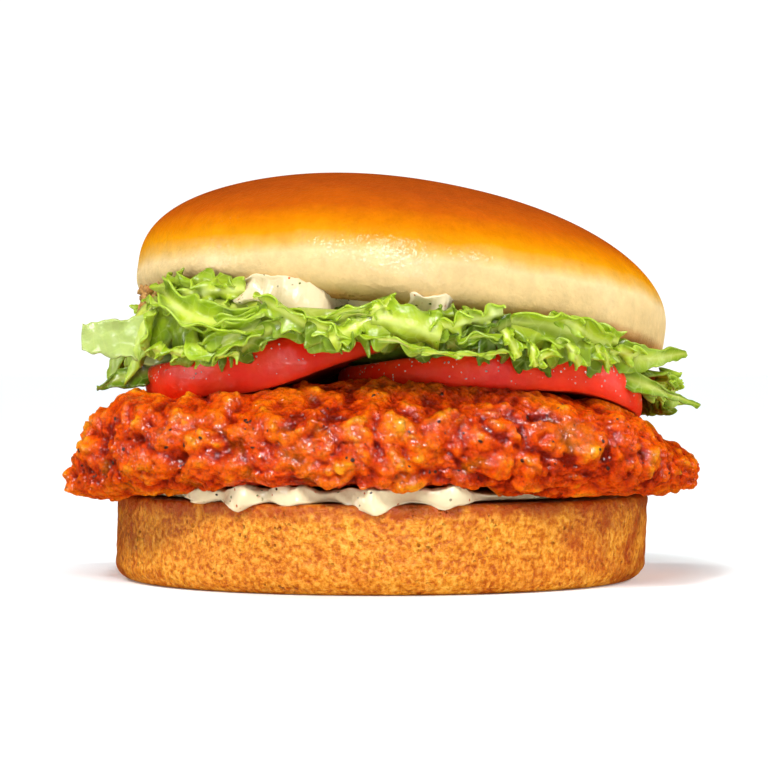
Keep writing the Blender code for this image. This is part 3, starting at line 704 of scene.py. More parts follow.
def fillet_floor(co):
    """The lowest the fillet may hang: over the sauce, onto the bare rim, or past the heel."""
    radius = math.hypot(co.x - HEEL_CENTRE_X, co.y)
    angle = math.degrees(math.atan2(co.y, co.x - HEEL_CENTRE_X))
    over_sauce = HEEL_HEIGHT + SAUCE_THICKNESS + 3.4 * GAP
    arch = 1.4 * MM * smooth_step(-136, -128, angle) * smooth_step(-64, -70, angle)
    rim = HEEL_HEIGHT + GAP
    if arch:
        rim = mix(rim, over_sauce + 0.6 * MM, min(1.0, arch / MM))
    past = smooth_step(HEEL_RADIUS + 0.8 * MM, HEEL_RADIUS + 4 * MM, radius)
    inner = smooth_step(LOWER_SAUCE_RADIUS + 0.6 * MM, LOWER_SAUCE_RADIUS + 3 * MM, radius)
    return mix(mix(over_sauce, rim, inner), FILLET_OVERHANG, past)


def fall_to_back(y):
    """How much lower the fillet's top is at y than at its front."""
    return FILLET_FALL_TO_BACK * (y + FILLET_HALF_DEPTH)


def fillet_slab(angle, tilt):
    """The smooth slab under the breading. Tilt runs from 1 at its top to -1 at its foot."""
    share = max(0.0, 1.0 - abs(tilt) ** 1.6) ** 0.75
    edge = math.copysign(max(0.0, 1.0 - share**8.0) ** (1 / 2.6), tilt)
    reach = fillet_outline(angle) * share
    x, y = reach * math.cos(angle), reach * math.sin(angle)
    top = along_table(FILLET_TOPS, x) - fall_to_back(y)
    foot = FILLET_UNDERSIDE - FILLET_LEFT_SAG * smooth_step(-46 * MM, -58 * MM, x)
    return Vector((x, y, (top + foot) / 2 + edge * (top - foot) / 2))


def fillet_normals(columns, tilts):
    """The slab's outward directions, from the differences between neighbouring points."""
    grid = [[fillet_slab(2 * math.pi * i / columns, tilt) for i in range(columns)] for tilt in tilts]
    normals = []
    for row in range(len(tilts)):
        above, below = grid[max(row - 1, 0)], grid[min(row + 1, len(tilts) - 1)]
        line = []
        for i in range(columns):
            round_way = grid[row][(i + 1) % columns] - grid[row][i - 1]
            line.append(round_way.cross(above[i] - below[i]).normalized())
        normals.append(line)
    return grid, normals


def billow(point, size, seed):
    """Rounded lumps with sharp creases between them, from 0 in a crease to 1."""
    rise = min(1.0, 1.7 * abs(wander(point, size, seed)))
    return rise * (1.6 - 0.6 * rise)


def pulled(point, size, amount, seed):
    """The point moved by smooth noise, so that what is drawn at it comes out uneven."""
    return point + amount * Vector([wander(point, size, seed + axis) for axis in range(3)])


def crust_relief(co):
    """The breading's crags over the big lumps: the height, and how high it is for its size."""
    bent = pulled(pulled(co, 6 * MM, 1.5 * MM, 41), 2.3 * MM, 0.45 * MM, 44)
    rough = mix(0.6, 1.2, smooth_step(-0.35, 0.3, wander(co, 17 * MM, 13)))
    clumps = billow(bent, 7.0 * MM, 9)
    crags = billow(bent, 3.2 * MM, 10)
    crumbs = billow(bent, 1.6 * MM, 11)
    flakes = smooth_step(0.04, 0.14, wander(bent, 4.2 * MM, 15))
    shape = 0.28 * clumps + 0.26 * crags * (0.4 + 0.6 * clumps) + 0.19 * crumbs * (0.5 + 0.5 * crags)
    height = rough * (3.8 * MM * shape + 0.9 * MM * flakes)
    pit = smooth_step(0.26, 0.55, wander(bent, 4.0 * MM, 16))
    # The second value colours the breading: low in the pits for painted shade, high on the crags for
    # painted light.
    return height - 0.8 * MM * pit, 1.05 * shape + 0.14 * flakes - 0.25 * pit


def belly_depth(across, belly):
    """How much lower a slice's underside hangs in its thicker middle."""
    depth, middle, width = belly
    return depth * math.exp(-(((across - middle) / width) ** 2))


def under_tomato(co):
    """Keeps a point of the fillet clear under both slices."""
    for radius, centre, turn, wedge, belly, sag in (TOMATO_LEFT, TOMATO_RIGHT):
        own = Euler(turn).to_matrix().transposed() @ (co - centre)
        share = own.xy.length / radius
        if share > 1.07:
            continue
        across = own.x / radius
        drop = sag * max(0.0, across) ** 2.6 + belly_depth(across, belly)
        under = -TOMATO_HALF * (1.0 + wedge * across) - drop - GAP
        under += 2.0 * MM * smooth_step(0.98, 1.07, share)
        if own.z > under:
            own.z = under
            co = placed(own, centre, turn)
    return co


def make_fillet():
    columns, rows = FILLET_GRID
    tilts = [math.copysign(abs(s) ** 1.45, -s) for s in spaced(-0.992, 0.992, rows)]
    grid, normals = fillet_normals(columns, tilts)
    points, relief = [], []
    for line, normal_line in zip(grid, normals):
        for co, normal in zip(line, normal_line):
            calm = mix(1.0, 0.4, smooth_step(0.7, 1.0, abs(normal.z)))
            base = sum(d * lumpy(co, size, i) for i, (size, d) in enumerate(FILLET_LUMPS, 4))
            base = base * calm + 0.8 * MM * wander(co, 19 * MM, 8)
            height, level = crust_relief(co)
            height *= mix(1.0, 0.6, smooth_step(0.5, 0.95, abs(normal.z)))
            lift = 2.4 * MM * smooth_step(-50 * MM, -42 * MM, co.y) * smooth_step(34 * MM, 20 * MM, co.x)
            lift *= smooth_step(0.6, 0.95, normal.z) * smooth_step(-55 * MM, -49 * MM, co.x)
            sink = mix(2.4, 1.5, smooth_step(-62 * MM, -48 * MM, co.x)) * MM
            moved = co + normal * (base + height + lift - sink)
            if normal.z < 0.3:
                ragged = 2.2 * MM * max(0.0, wander(co, 9 * MM, 18)) + 0.7 * height
                moved.z = max(moved.z, fillet_floor(moved) + max(0.0, ragged))
            if normal.z > 0.2:
                moved = under_tomato(moved)
            points.append(moved + SHIFT)
            # Painted shade and light: the colour value is low in the pits and high on the crags and lumps.
            relief.append(min(1.0, max(0.0, level + 0.12 * base / (3 * MM))))
    faces = []
    for row in range(rows - 1):
        for i in range(columns):
            j = (i + 1) % columns
            upper, lower = row * columns, (row + 1) * columns
            faces.append((upper + i, lower + i, lower + j, upper + j))
    faces.append(tuple(range(columns)))
    faces.append(tuple(reversed(range((rows - 1) * columns, rows * columns))))
    values = {"relief": relief}
    return finish_piece("crisp_fillet", points, faces, values, fillet_material())


# Tomato


def tomato_profile(radius):
    half = TOMATO_HALF
    profile = [(share * radius, half) for share in spaced(0.0, 0.93, 26)]
    for angle in spaced(90, -90, 21):
        a = math.radians(angle)
        profile.append((radius - 1.5 * MM * (1 - max(0.0, math.cos(a)) ** 0.8), half * math.sin(a)))
    return profile + [(share * radius, -half) for share in spaced(0.93, 0.0, 20)]


def tomato_place(co, radius, centre, turn, wedge, belly, sag):
    across = co.x / radius
    lobes = 1.0 + 0.012 * math.sin(5 * math.atan2(co.y, co.x) + radius / MM)
    drop = sag * max(0.0, across) ** 2.6
    if co.z < 0:
        drop += min(1.0, -2 * co.z / TOMATO_THICKNESS) * belly_depth(across, belly)
    own = Vector((co.x * lobes, co.y * lobes, co.z * (1.0 + wedge * across) - drop))
    return placed(own, centre, turn) + SHIFT


def make_tomato(name, material, radius, *shape):
    raw, faces = turned_grid(tomato_profile(radius), TOMATO_SEGMENTS)
    points, cut = [], []
    for co in raw:
        share = co.xy.length / radius
        swell = 0.14 * MM * wander(co, 7 * MM, 21) + 0.07 * MM * wander(co, 2.5 * MM, 22)
        rough = co + Vector((0.0, 0.0, swell * (1.0 if co.z > 0 else -1.0)))
        points.append(tomato_place(rough, radius, *shape))
        cut.append(smooth_step(0.80, 0.99, abs(co.z) / TOMATO_HALF) * smooth_step(1.0, 0.93, share))
    return finish_piece(name, points, faces, {"cut": cut}, material)


# Sauce


def smeared(own):
    """Thins the sauce to a smear where it climbs the crown's wall, and lets it bulge lower down."""
    length = own.xy.length
    thin = 0.7 * MM * (1.0 + 0.9 * wander(own, 2.6 * MM, 37))
    most = mix(crown_wall(own.z) + thin, length, smooth_step(0.6 * MM, -2.6 * MM, own.z))
    if length <= most:
        return own
    return Vector((own.x * most / length, own.y * most / length, own.z))


def make_sauce(name, material, radius, lobe_table, hollow, centre, turn, cling=False):
    """A round layer of sauce whose lobes reach out, climb and drip at its edge."""
    lobes = [(at, width, out * MM, up * MM, down * MM) for at, width, out, up, down in lobe_table]
    half = SAUCE_THICKNESS / 2
    profile = [(share * radius, half) for share in (0.0, 0.3, 0.6, 0.8, 0.86, 0.9, 0.93)]
    for angle in spaced(85, -85, 13):
        a = math.radians(angle)
        profile.append((0.95 * radius + 0.05 * radius * math.cos(a), half * math.sin(a)))
    profile += [(share * radius, -half) for share in (0.93, 0.9, 0.86, 0.8, 0.5, 0.0)]
    raw, faces = turned_grid(profile, SAUCE_SEGMENTS)
    points = []
    for co in raw:
        angle = math.atan2(co.y, co.x)
        length = co.xy.length
        edge = smooth_step(0.88, 0.985, length / radius)
        reach = sum(out * bump_at(angle, at, width) for at, width, out, _, _ in lobes)
        around = Vector((math.cos(angle), math.sin(angle), 0.0)) * radius
        ragged = 1.0 + 0.7 * wander(around, 3.4 * MM, 34) + 0.5 * wander(around, 1.5 * MM, 35)
        climb = ragged * sum(up * bump_at(angle, at, width) for at, width, _, up, _ in lobes)
        drip = sum(down * bump_at(angle, at, width * 0.7) for at, width, _, _, down in lobes)
        wavy = 0.7 * MM * math.sin(5 * angle + 1.0) + 0.4 * MM * math.sin(11 * angle)
        wavy += edge * 1.1 * MM * wander(co, 3.2 * MM, 31)
        wavy += edge * 1.1 * MM * wander(co + Vector((0.0, 0.0, 4.0 * co.z)), 2.8 * MM, 36)
        out = 1.0 + edge * (reach + wavy) / radius
        uneven = 1.0 + 0.5 * wander(Vector((co.x, co.y, 0.0)), 3.0 * MM, 33)
        lift = edge * (climb if co.z > 0 else -drip * uneven)
        own = Vector((co.x * out, co.y * out, co.z - half + lift + hollow(length)))
        points.append(placed(smeared(own) if cling else own, centre, turn) + SHIFT)
    return finish_piece(name, points, faces, {}, material)


# Salad

# Front leaves: (x, z, out from the crown's wall) in mm at each end of the root, then the
# face's height (below zero it hangs), its lean in degrees, its waves and its ruffle in mm.
# Side leaves end with the share of the width that the tip loses and the tip's rise in mm
FRONT_LEAVES = (
    ((-47, 57.5, -2.5), (-33, 57.0, 0.5), -14.0, 10, 1.3, 1.7),
    ((-44, 57.0, 1.0), (-27, 57.0, 1.0), 3.4, 6, 1.7, 1.1),
    ((-40, 56.0, 1.4), (-21, 54.5, 0.8), -9.0, 12, 1.2, 1.8),
    ((-38, 50.5, -1.0), (-23, 50.0, -1.5), -7.0, 4, 2.0, 1.2),
    ((-25, 55.5, 0.6), (-7, 51.5, 0.2), -6.5, 10, 1.2, 1.4),
    ((-16, 53.6, 0.8), (1, 52.4, 0.8), -7.0, 10, 2.0, 1.2),
    ((-5, 52.4, 1.4), (11, 51.6, 1.2), -6.0, 8, 1.1, 1.2),
    ((-3, 50.0, -1.0), (24, 49.0, -1.2), -5.0, 4, 1.7, 1.0),
    ((8, 51.4, 1.8), (19, 50.6, 1.8), 2.6, 8, 1.6, 1.0),
    ((14, 53.2, 0.8), (27, 52.0, 0.4), -8.0, 8, 1.3, 1.4),
    ((23, 51.2, 1.0), (43, 47.6, 0.8), -6.0, 8, 1.6, 1.5),
    ((21, 48.0, -1.2), (34, 46.6, -1.2), -5.0, 4, 1.9, 1.1),
    ((32, 47.2, -1.2), (45, 44.6, -0.8), -4.6, 4, 1.6, 1.0),
)
# The front leaves' tints, their own green with painted shade: lower is darker, for leaves that sit deeper.
FRONT_TINTS_AND_SHADES = (0.7, 0.95, 1.0, 0.75, 0.8, 0.6, 0.95, 0.35, 0.7, 0.25, 0.75, 0.4, 0.6)
SIDE_LEAVES = (
    ((-38, 51.8, -7.0), (-59.0, 52.4, 10.6), -8.8, -3, 0.5, 0.8, 0.10, 0.0),
    ((-42, 44.4, -4.0), (-55.8, 41.2, 8.2), -4.6, 6, 0.6, 0.8, 0.75, -0.8),
    ((32, 48.6, -7.0), (58.8, 46.0, 5.8), -6.0, 4, 0.8, 1.0, 0.55, 1.8),
    ((33, 46.2, -7.0), (61.6, 36.6, 8.2), -3.4, 4, 0.4, 0.4, 0.70, -0.4),
)
# The same for the side leaves: their own green with painted shade.
SIDE_TINTS_AND_SHADES = (1.2, 0.15, 0.42, 0.3)

# Loose leaves in front: each rib's two ends as (x, y, z), then the width, the roll in degrees, the
# rib's bow up and its belly outward, the cup across, the ruffle, the waves, how blunt the two ends
# are from 0 to 0.5, and the tint_and_shade from 0 (dark) to 1 (bright), all lengths in mm. That
# last is the leaf's own green with painted shade: low values darken leaves that sit in the recesses
LOOSE_LEAVES = (
    ((-44.0, -28.6, 52.9), (-45.2, -25.1, 44.8), 4.7, 25, 0.4, 1.0, 1.5, 0.7, 1.6, 0.5, 0.45, 0.95),
    ((-46.0, -22.1, 55.2), (-36.2, -38.4, 52.6), 2.8, 55, 0.0, 0.8, 0.8, 0.9, 2.2, 0.3, 0.3, 0.9),
    ((-40.3, -32.0, 55.2), (-26.1, -45.4, 56.9), 5.2, 18, 0.4, 1.2, 0.6, 1.7, 3.3, 0.35, 0.4, 0.75),
    ((-42.3, -31.4, 57.3), (-23.7, -48.6, 50.2), 6.3, -38, -1.7, 3.4, 3.0, 1.0, 2.2, 0.12, 0.3, 0.92),
    ((-37.0, -37.2, 50.2), (-22.2, -49.9, 52.8), 3.7, -55, -1.3, 2.6, 1.6, 0.7, 1.8, 0.3, 0.3, 0.85),
    ((-36.1, -40.1, 48.7), (-31.3, -44.4, 44.6), 2.8, 75, -0.6, 1.4, 3.2, 0.5, 1.1, 0.5, 0.5, 0.6),
    ((-33.5, -42.2, 44.6), (-22.9, -49.5, 50.6), 4.7, 5, 0.2, 1.4, 2.2, 0.6, 1.9, 0.35, 0.4, 0.5),
    ((-44.0, -28.4, 46.0), (-33.1, -42.0, 44.4), 3.0, 40, 0.0, 1.0, 0.6, 1.5, 2.6, 0.4, 0.4, 0.95),
    ((-34.9, -40.7, 44.2), (-27.1, -46.9, 45.1), 2.4, 45, 0.0, 0.8, 0.6, 1.2, 2.0, 0.4, 0.4, 0.95),
    ((-26.8, -45.7, 45.7), (-17.3, -50.5, 50.9), 4.1, 20, 0.4, 0.8, 1.0, 0.8, 1.6, 0.3, 0.4, 0.3),
    ((-23.7, -47.7, 55.2), (-14.7, -52.1, 50.2), 5.2, 32, 0.7, 1.6, 1.8, 0.9, 1.8, 0.4, 0.3, 0.95),
    ((-18.1, -49.8, 52.8), (-5.4, -53.6, 46.7), 3.7, 30, 0.6, 1.0, 1.2, 0.8, 2.2, 0.2, 0.2, 0.85),
    ((-13.2, -51.7, 51.1), (0.1, -54.2, 54.2), 2.4, 48, 0.4, 1.0, 0.6, 0.6, 2.2, 0.15, 0.4, 0.9),
    ((-3.2, -54.1, 52.4), (2.2, -54.4, 55.0), 2.8, 20, 0.0, 0.8, 0.8, 1.3, 2.0, 0.3, 0.45, 0.95),
    ((-1.7, -53.6, 52.0), (-9.8, -53.2, 47.4), 4.7, 8, 0.0, 0.8, 0.8, 0.9, 2.4, 0.1, 0.5, 0.8),
    ((-2.1, -54.2, 51.7), (10.5, -54.2, 48.5), 7.4, 14, 0.4, 1.2, -1.6, 0.8, 1.6, 0.4, 0.35, 0.55),
    ((-4.7, -54.3, 48.7), (8.6, -55.1, 45.4), 2.0, 65, 0.6, 1.2, 0.6, 0.5, 1.8, 0.2, 0.3, 1.0),
    ((8.3, -54.3, 49.4), (16.0, -53.5, 51.1), 4.5, 42, 0.0, 1.4, 1.2, 1.3, 1.9, 0.4, 0.4, 1.0),
    ((14.2, -52.9, 50.9), (22.0, -50.7, 52.6), 4.5, 30, 0.0, 1.2, 1.0, 1.3, 1.7, 0.4, 0.4, 0.9),
    ((11.6, -53.0, 46.5), (23.5, -49.9, 50.6), 4.5, 25, 0.0, 1.0, 1.0, 0.9, 2.0, 0.3, 0.3, 0.15),
    ((13.1, -54.0, 47.6), (22.0, -51.6, 48.3), 2.6, 55, 0.4, 1.0, 1.2, 0.8, 1.4, 0.2, 0.2, 0.45),
    ((6.8, -55.2, 45.8), (22.7, -51.3, 45.4), 1.7, 60, -0.4, 1.0, 0.4, 0.6, 2.6, 0.2, 0.3, 1.0),
    ((22.0, -51.2, 49.4), (25.0, -50.8, 44.4), 2.8, 20, 0.0, 0.8, 1.0, 1.3, 1.8, 0.4, 0.4, 0.95),
    ((26.2, -48.9, 48.0), (28.4, -48.9, 42.7), 2.4, 45, 0.0, 0.8, 1.0, 1.2, 1.6, 0.4, 0.4, 0.9),
    ((28.2, -49.0, 43.5), (33.1, -44.9, 47.2), 2.4, 30, 0.0, 0.6, 0.8, 1.3, 1.8, 0.4, 0.4, 1.0),
    ((23.5, -49.7, 50.9), (42.9, -37.2, 46.0), 6.9, 24, 1.1, 1.6, 1.8, 0.9, 2.0, 0.15, 0.25, 0.65),
    ((30.7, -46.7, 52.2), (38.1, -41.8, 48.7), 3.3, 20, 0.4, 0.8, 0.8, 1.0, 1.8, 0.25, 0.35, 0.85),
    ((37.0, -41.2, 49.6), (44.3, -34.1, 47.1), 4.5, 12, 0.0, 0.8, 0.8, 0.9, 1.8, 0.45, 0.45, 0.6),
    ((34.2, -44.4, 46.8), (36.7, -43.2, 42.7), 2.4, 35, 0.0, 0.6, 0.8, 1.2, 1.6, 0.4, 0.4, 0.9),
    ((39.7, -39.8, 46.4), (42.7, -37.4, 42.6), 2.4, 35, 0.0, 0.6, 0.8, 1.2, 1.6, 0.4, 0.4, 0.95),
    ((42.7, -35.4, 45.6), (49.0, -26.9, 44.4), 3.3, 35, 0.0, 0.6, 0.8, 1.2, 2.0, 0.4, 0.4, 0.8),
)
RING_LEAF_COUNT = 26
RING_LEAF_ANGLES = (-12.0, 178.0)

BACK_LEAF_COUNT = 9
BACK_LEAF_ANGLES = (-16.0, 196.0)


def outward_at(point):
    """The level direction from the crown's centre to a point."""
    return Vector((point.x - CROWN_CENTRE.x, point.y, 0.0)).normalized()


def front_root(start, end):
    """The line that a front leaf grows from, as a rule from its share along."""

    def root(along):
        x, z, out = (mix(a, b, along) * MM for a, b in zip(start, end))
        across = x - CROWN_CENTRE.x
        ring = CROWN_RADIUS + out
        return Vector((x, -math.sqrt(max(0.0, ring**2 - across**2)), z))

    return root


def ring_root(at, half_width, out):
    """The same for a leaf at the sides or the back, from its angle and half its width in degrees."""

    def root(along):
        angle = math.radians(at + half_width * (2 * along - 1))
        ring = CROWN_RADIUS - 2.5 * MM + out
        x, y = CROWN_CENTRE.x + ring * math.cos(angle), ring * math.sin(angle)
        return Vector((x, y, cut_face_height(x, y) - LEAF_ROOT_DROP))

    return root


def leaf_surface(root, face, lean, waves, ruffle, seed):
    """A frilly leaf as a rule from (along, across). Across is -0.5 to 0 on the neck, then up to 1."""
    lean = math.radians(lean)

    def surface(along, across):
        base = root(along)
        outward = outward_at(base)
        if across < 0:
            inner = base - outward * LEAF_NECK
            inner.z = min(base.z, cut_face_height(inner.x, inner.y) - LEAF_ROOT_DROP)
            return base.lerp(inner, -2.0 * across)
        phase = 2 * math.pi * waves * along
        fan = 0.45 + 0.55 * math.sin(math.pi * min(max(along, 0.0), 1.0)) ** 0.6
        lobes = 1.0 + 0.16 * math.sin(phase * 1.5 + face)
        edge = smooth_step(0.55, 1.0, across)
        teeth = 0.09 * edge * math.sin(phase * 5.3 + seed) + 0.16 * edge * wander(base, 2.2 * MM, seed)
        rise = face * MM * across * fan * (lobes + teeth)
        frill = 0.95 * MM * across**2.0 * math.sin(phase * 2.3 + seed + 1.2 * across)
        frill += 0.35 * MM * across**3.0 * math.sin(phase * 6.1 + 2 * seed + 2.0 * across)
        swing = ruffle * MM * math.sin(phase + face) * across**0.8 + frill
        out = math.sin(lean) * abs(rise) + swing + 1.2 * MM * math.sin(math.pi * across)
        roll = 0.9 * MM * across**3 * math.cos(phase * 2.7 + seed)
        side = Vector((-outward.y, outward.x, 0.0)) * 0.8 * MM * across**2 * math.cos(phase * 3.1 + seed)
        place = base + outward * out + side + Vector((0.0, 0.0, rise * math.cos(lean) + roll))
        crinkle = 0.5 * MM * wander(place, 2.8 * MM, seed) + 0.22 * MM * wander(place, 1.3 * MM, seed)
        return place + outward * crinkle * min(1.0, 3 * across)

    return surface


def blade_surface(root, face, lean, waves, ruffle, tip, tip_rise, seed):
    """A leaf that reaches out at the side of the burger."""
    lean = math.radians(lean)

    def surface(along, across):
        base = root(along)
        outward = outward_at(base)
        width = face * MM * (0.75 + 0.25 * math.cos(math.pi * (along - 0.35)))
        width *= 1.0 + 0.14 * wander(base, 4 * MM, seed) + 0.12 * wander(base, 1.6 * MM, seed + 3.0)
        ending = smooth_step(0.55, 1.0, along)
        width *= 1.0 - tip * ending
        drop = width * (across - 0.5)
        edge = abs(2 * across - 1) ** 2
        swing = ruffle * MM * math.sin(2 * math.pi * waves * along + 3 * across)
        swing += 0.9 * MM * edge * math.sin(2 * math.pi * (waves * 3.1 + 1) * along + seed + 2 * across)
        curl = 1.0 * MM * math.sin(math.pi * across)
        side = Vector((-outward.y, outward.x, 0.0)) * math.copysign(1.0, base.x)
        middle = base + Vector((0.0, 0.0, face * MM / 2 + tip_rise * MM * ending**2))
        place = middle + Vector((0.0, 0.0, drop)) + side * (swing + curl + drop * math.sin(lean))
        crinkle = 0.45 * MM * wander(place, 2.6 * MM, seed)
        return place + side * crinkle + Vector((0.0, 0.0, 0.5 * MM * edge * wander(place, 2.0 * MM, seed)))

    return surface


def back_leaf(number, draw):
    """A leaf of the ring round the sides and the back. It hangs, or juts where there's no room."""
    first, last = BACK_LEAF_ANGLES
    at = mix(first, last, number / (BACK_LEAF_COUNT - 1))
    root = ring_root(at, draw.uniform(10, 13), draw.uniform(-0.4, 0.8) * MM)
    base = root(0.5)
    room = (base.z - (FILLET_MAIN_TOP - fall_to_back(base.y))) / MM
    face = -max(draw.uniform(0.7, 0.95) * room, draw.uniform(6.0, 8.0))
    lean = max(draw.uniform(8, 22), math.degrees(math.acos(min(1.0, max(0.1, room - 1.5) / -face))))
    return leaf_surface(root, face, lean, draw.uniform(1.2, 1.9), 1.3, number + 40.0)


def loose_surface(start, end, width, roll, bow, belly, cup, ruffle, waves, blunt_start, blunt_end, seed):
    """A ruffled leaf round a rib from start to end, as a rule from (along, across) with across -1 to 1."""
    start, end = Vector(start) * MM, Vector(end) * MM
    middle = (start + end) / 2
    tangent = (end - start).normalized()
    outward = outward_at(middle)
    upward = outward.cross(tangent).normalized()
    outward = tangent.cross(upward).normalized()
    roll = math.radians(roll)
    side = upward * math.cos(roll) + outward * math.sin(roll)
    face = outward * math.cos(roll) - upward * math.sin(roll)

    def surface(along, across):
        arch = math.sin(math.pi * along)
        rib = start.lerp(end, along) + upward * bow * MM * arch + outward * belly * MM * arch
        spread = math.sin(math.pi * mix(blunt_start, 1.0 - blunt_end, along)) ** 0.7
        far = abs(across)
        phase = 2 * math.pi * waves * along + seed
        lobes = 1.0 + 0.14 * far * math.sin(1.7 * phase + across)
        lobes += 0.20 * far * wander(rib, 3.0 * MM, seed + across)
        reach = across * width * MM / 2 * spread * lobes
        wave = ruffle * MM * far**1.5 * math.sin(phase + 0.9 * across)
        wave += 0.30 * ruffle * MM * far**2.4 * math.sin(2.2 * phase + 2 * across)
        hollow = cup * MM * (across**2 - 0.35)
        spine = 0.35 * MM * math.exp(-((reach / (0.7 * MM)) ** 2))
        curl = 0.30 * ruffle * MM * far**3 * (1.0 - math.cos(phase + 0.9 * across))
        place = rib + side * (reach - math.copysign(curl, across)) + face * (wave + hollow + spine)
        place += tangent * 0.5 * ruffle * MM * far**2 * math.cos(phase + 0.9 * across)
        crinkle = 0.40 * MM * wander(place, 3.2 * MM, seed) + 0.10 * MM * wander(place, 1.3 * MM, seed)
        return place + face * crinkle

    return surface


def ring_leaf(number, draw):
    """A loose leaf of the ring round the sides and the back, in the gap under the crown's edge."""
    at = math.radians(mix(*RING_LEAF_ANGLES, number / (RING_LEAF_COUNT - 1)) + draw.uniform(-3, 3))
    half = math.radians(draw.uniform(7, 13)) * draw.choice((-1, 1))
    ends = []
    for angle in (at - half, at + half):
        tuck = 3.4 * smooth_step(math.radians(150), math.radians(175), angle)
        ring = CROWN_RADIUS / MM + draw.uniform(-0.5, 1.8) - tuck
        x, y = CROWN_CENTRE.x / MM + ring * math.cos(angle), ring * math.sin(angle)
        ends.append((x, y, cut_face_height(x * MM, y * MM) / MM + draw.uniform(-5.5, -1.5)))
    width, roll = draw.uniform(5.0, 7.5), draw.uniform(-30, 60)
    ruffle, waves = draw.uniform(1.0, 2.0), draw.uniform(2.2, 3.4)
    shape = (0.0, 1.6, draw.uniform(0.4, 1.6), ruffle, waves, 0.3, 0.3, number * 1.3)
    return loose_surface(*ends, width, roll, *shape)


def rib_share(across, first):
    """Zero at the leaf's rib and one at its margin, wherever its grid starts."""
    if first == -0.5:
        return max(0.0, across)
    if first == 0.0:
        return abs(2 * across - 1)
    return abs(across)


def leaf_grid(surface, first, tint_and_shade, columns, rows):
    """The leaf's points, faces and the numbers that its colours read."""
    points, across_values, faces = [], [], []
    for j in range(rows + 1):
        across = mix(first, 1.0, j / rows)
        points += [surface(i / columns, across) for i in range(columns + 1)]
        across_values += [rib_share(across, first)] * (columns + 1)
    rings = [ring_height(p) for p in points]
    usual = sum(rings) / len(rings)
    # Painted shade: points tucked in towards the crown's wall, and below the leaf's usual reach, get a low
    # share and so a darker green.
    painted_light_shares = []
    for point, ring in zip(points, rings):
        crest = smooth_step(usual - 2.0 * MM, usual + 0.9 * MM, ring)
        painted_light_shares.append(mix(0.25, 1.0, crest) * smooth_step(-5.5 * MM, 0.6 * MM, ring))
    points = [p + SHIFT for p in points]
    values = {"across": across_values, "tint_and_shade": [tint_and_shade] * len(points), "painted_light_share": painted_light_shares}
    for j in range(rows):
        for i in range(columns):
            a = j * (columns + 1) + i
            faces.append((a, a + 1, a + columns + 2, a + columns + 1))
    return points, faces, values


def ring_height(point):
    """How far a point of the salad lies outside the crown's wall."""
    return Vector((point.x - CROWN_CENTRE.x, point.y)).length - CROWN_RADIUS


def joined_leaves(name, grids, material):
    """Many leaves as one piece, given their thickness."""
    points, faces, values = [], [], {"across": [], "tint_and_shade": [], "painted_light_share": []}
    for grid_points, grid_faces, grid_values in grids:
        start = len(points)
        points += grid_points
        faces += [tuple(start + i for i in face) for face in grid_faces]
        for label, numbers in grid_values.items():
            values[label] += numbers
    obj = finish_piece(name, points, faces, values, material)
    solidify = obj.modifiers.new("Thickness", "SOLIDIFY")
    solidify.thickness = LEAF_THICKNESS
    solidify.offset = 0.0
    return obj


def make_salad_bed(material):
    """The salad's bed, which fills the gap between the fillet and the crown, coloured dark green as
    painted shade.
    """
    profile = [(share * SALAD_BED_RADIUS, 1.0 * MM) for share in spaced(0.0, 0.93, 20)]
    profile += [(0.985 * SALAD_BED_RADIUS, 0.5 * MM), (SALAD_BED_RADIUS, 0.0)]
    profile += [(0.985 * SALAD_BED_RADIUS, -0.5 * MM)]
    profile += [(share * SALAD_BED_RADIUS, -1.0 * MM) for share in spaced(0.93, 0.0, 20)]
    raw, faces = turned_grid(profile, SALAD_BED_SEGMENTS)
    points = []
    for co in raw:
        x, y = co.x + CROWN_CENTRE.x, co.y
        bare = smooth_step(UPPER_SAUCE_RADIUS + 0.5 * MM, UPPER_SAUCE_RADIUS + 2 * MM, co.xy.length)
        ceiling = cut_face_height(x, y) - 1.2 * GAP - (SAUCE_THICKNESS + GAP) * (1.0 - bare)
        behind = smooth_step(4 * MM, 20 * MM, y)
        front = smooth_step(-24 * MM, -38 * MM, y)
        fillet_top = FILLET_MAIN_TOP - fall_to_back(y)
        floor = mix(43.0 * MM, fillet_top + 2.0 * MM, behind)
        floor = min(mix(floor, ceiling - 4.4 * MM, front), ceiling - 2.5 * MM)
        height = mix(floor, ceiling, (co.z / MM + 1) / 2)
        folds = 0.7 * MM * wander(co, 4 * MM, 50)
        points.append(Vector((x, y, height + (folds if co.z < 0.9 * MM else 0.0))) + SHIFT)
    # Painted shade: low values give the bed the leaf's dark ramp.
    looks = {"across": 0.5, "tint_and_shade": 0.35, "painted_light_share": 0.3}
    values = {label: [number] * len(points) for label, number in looks.items()}
    return finish_piece("salad_bed", points, faces, values, material)


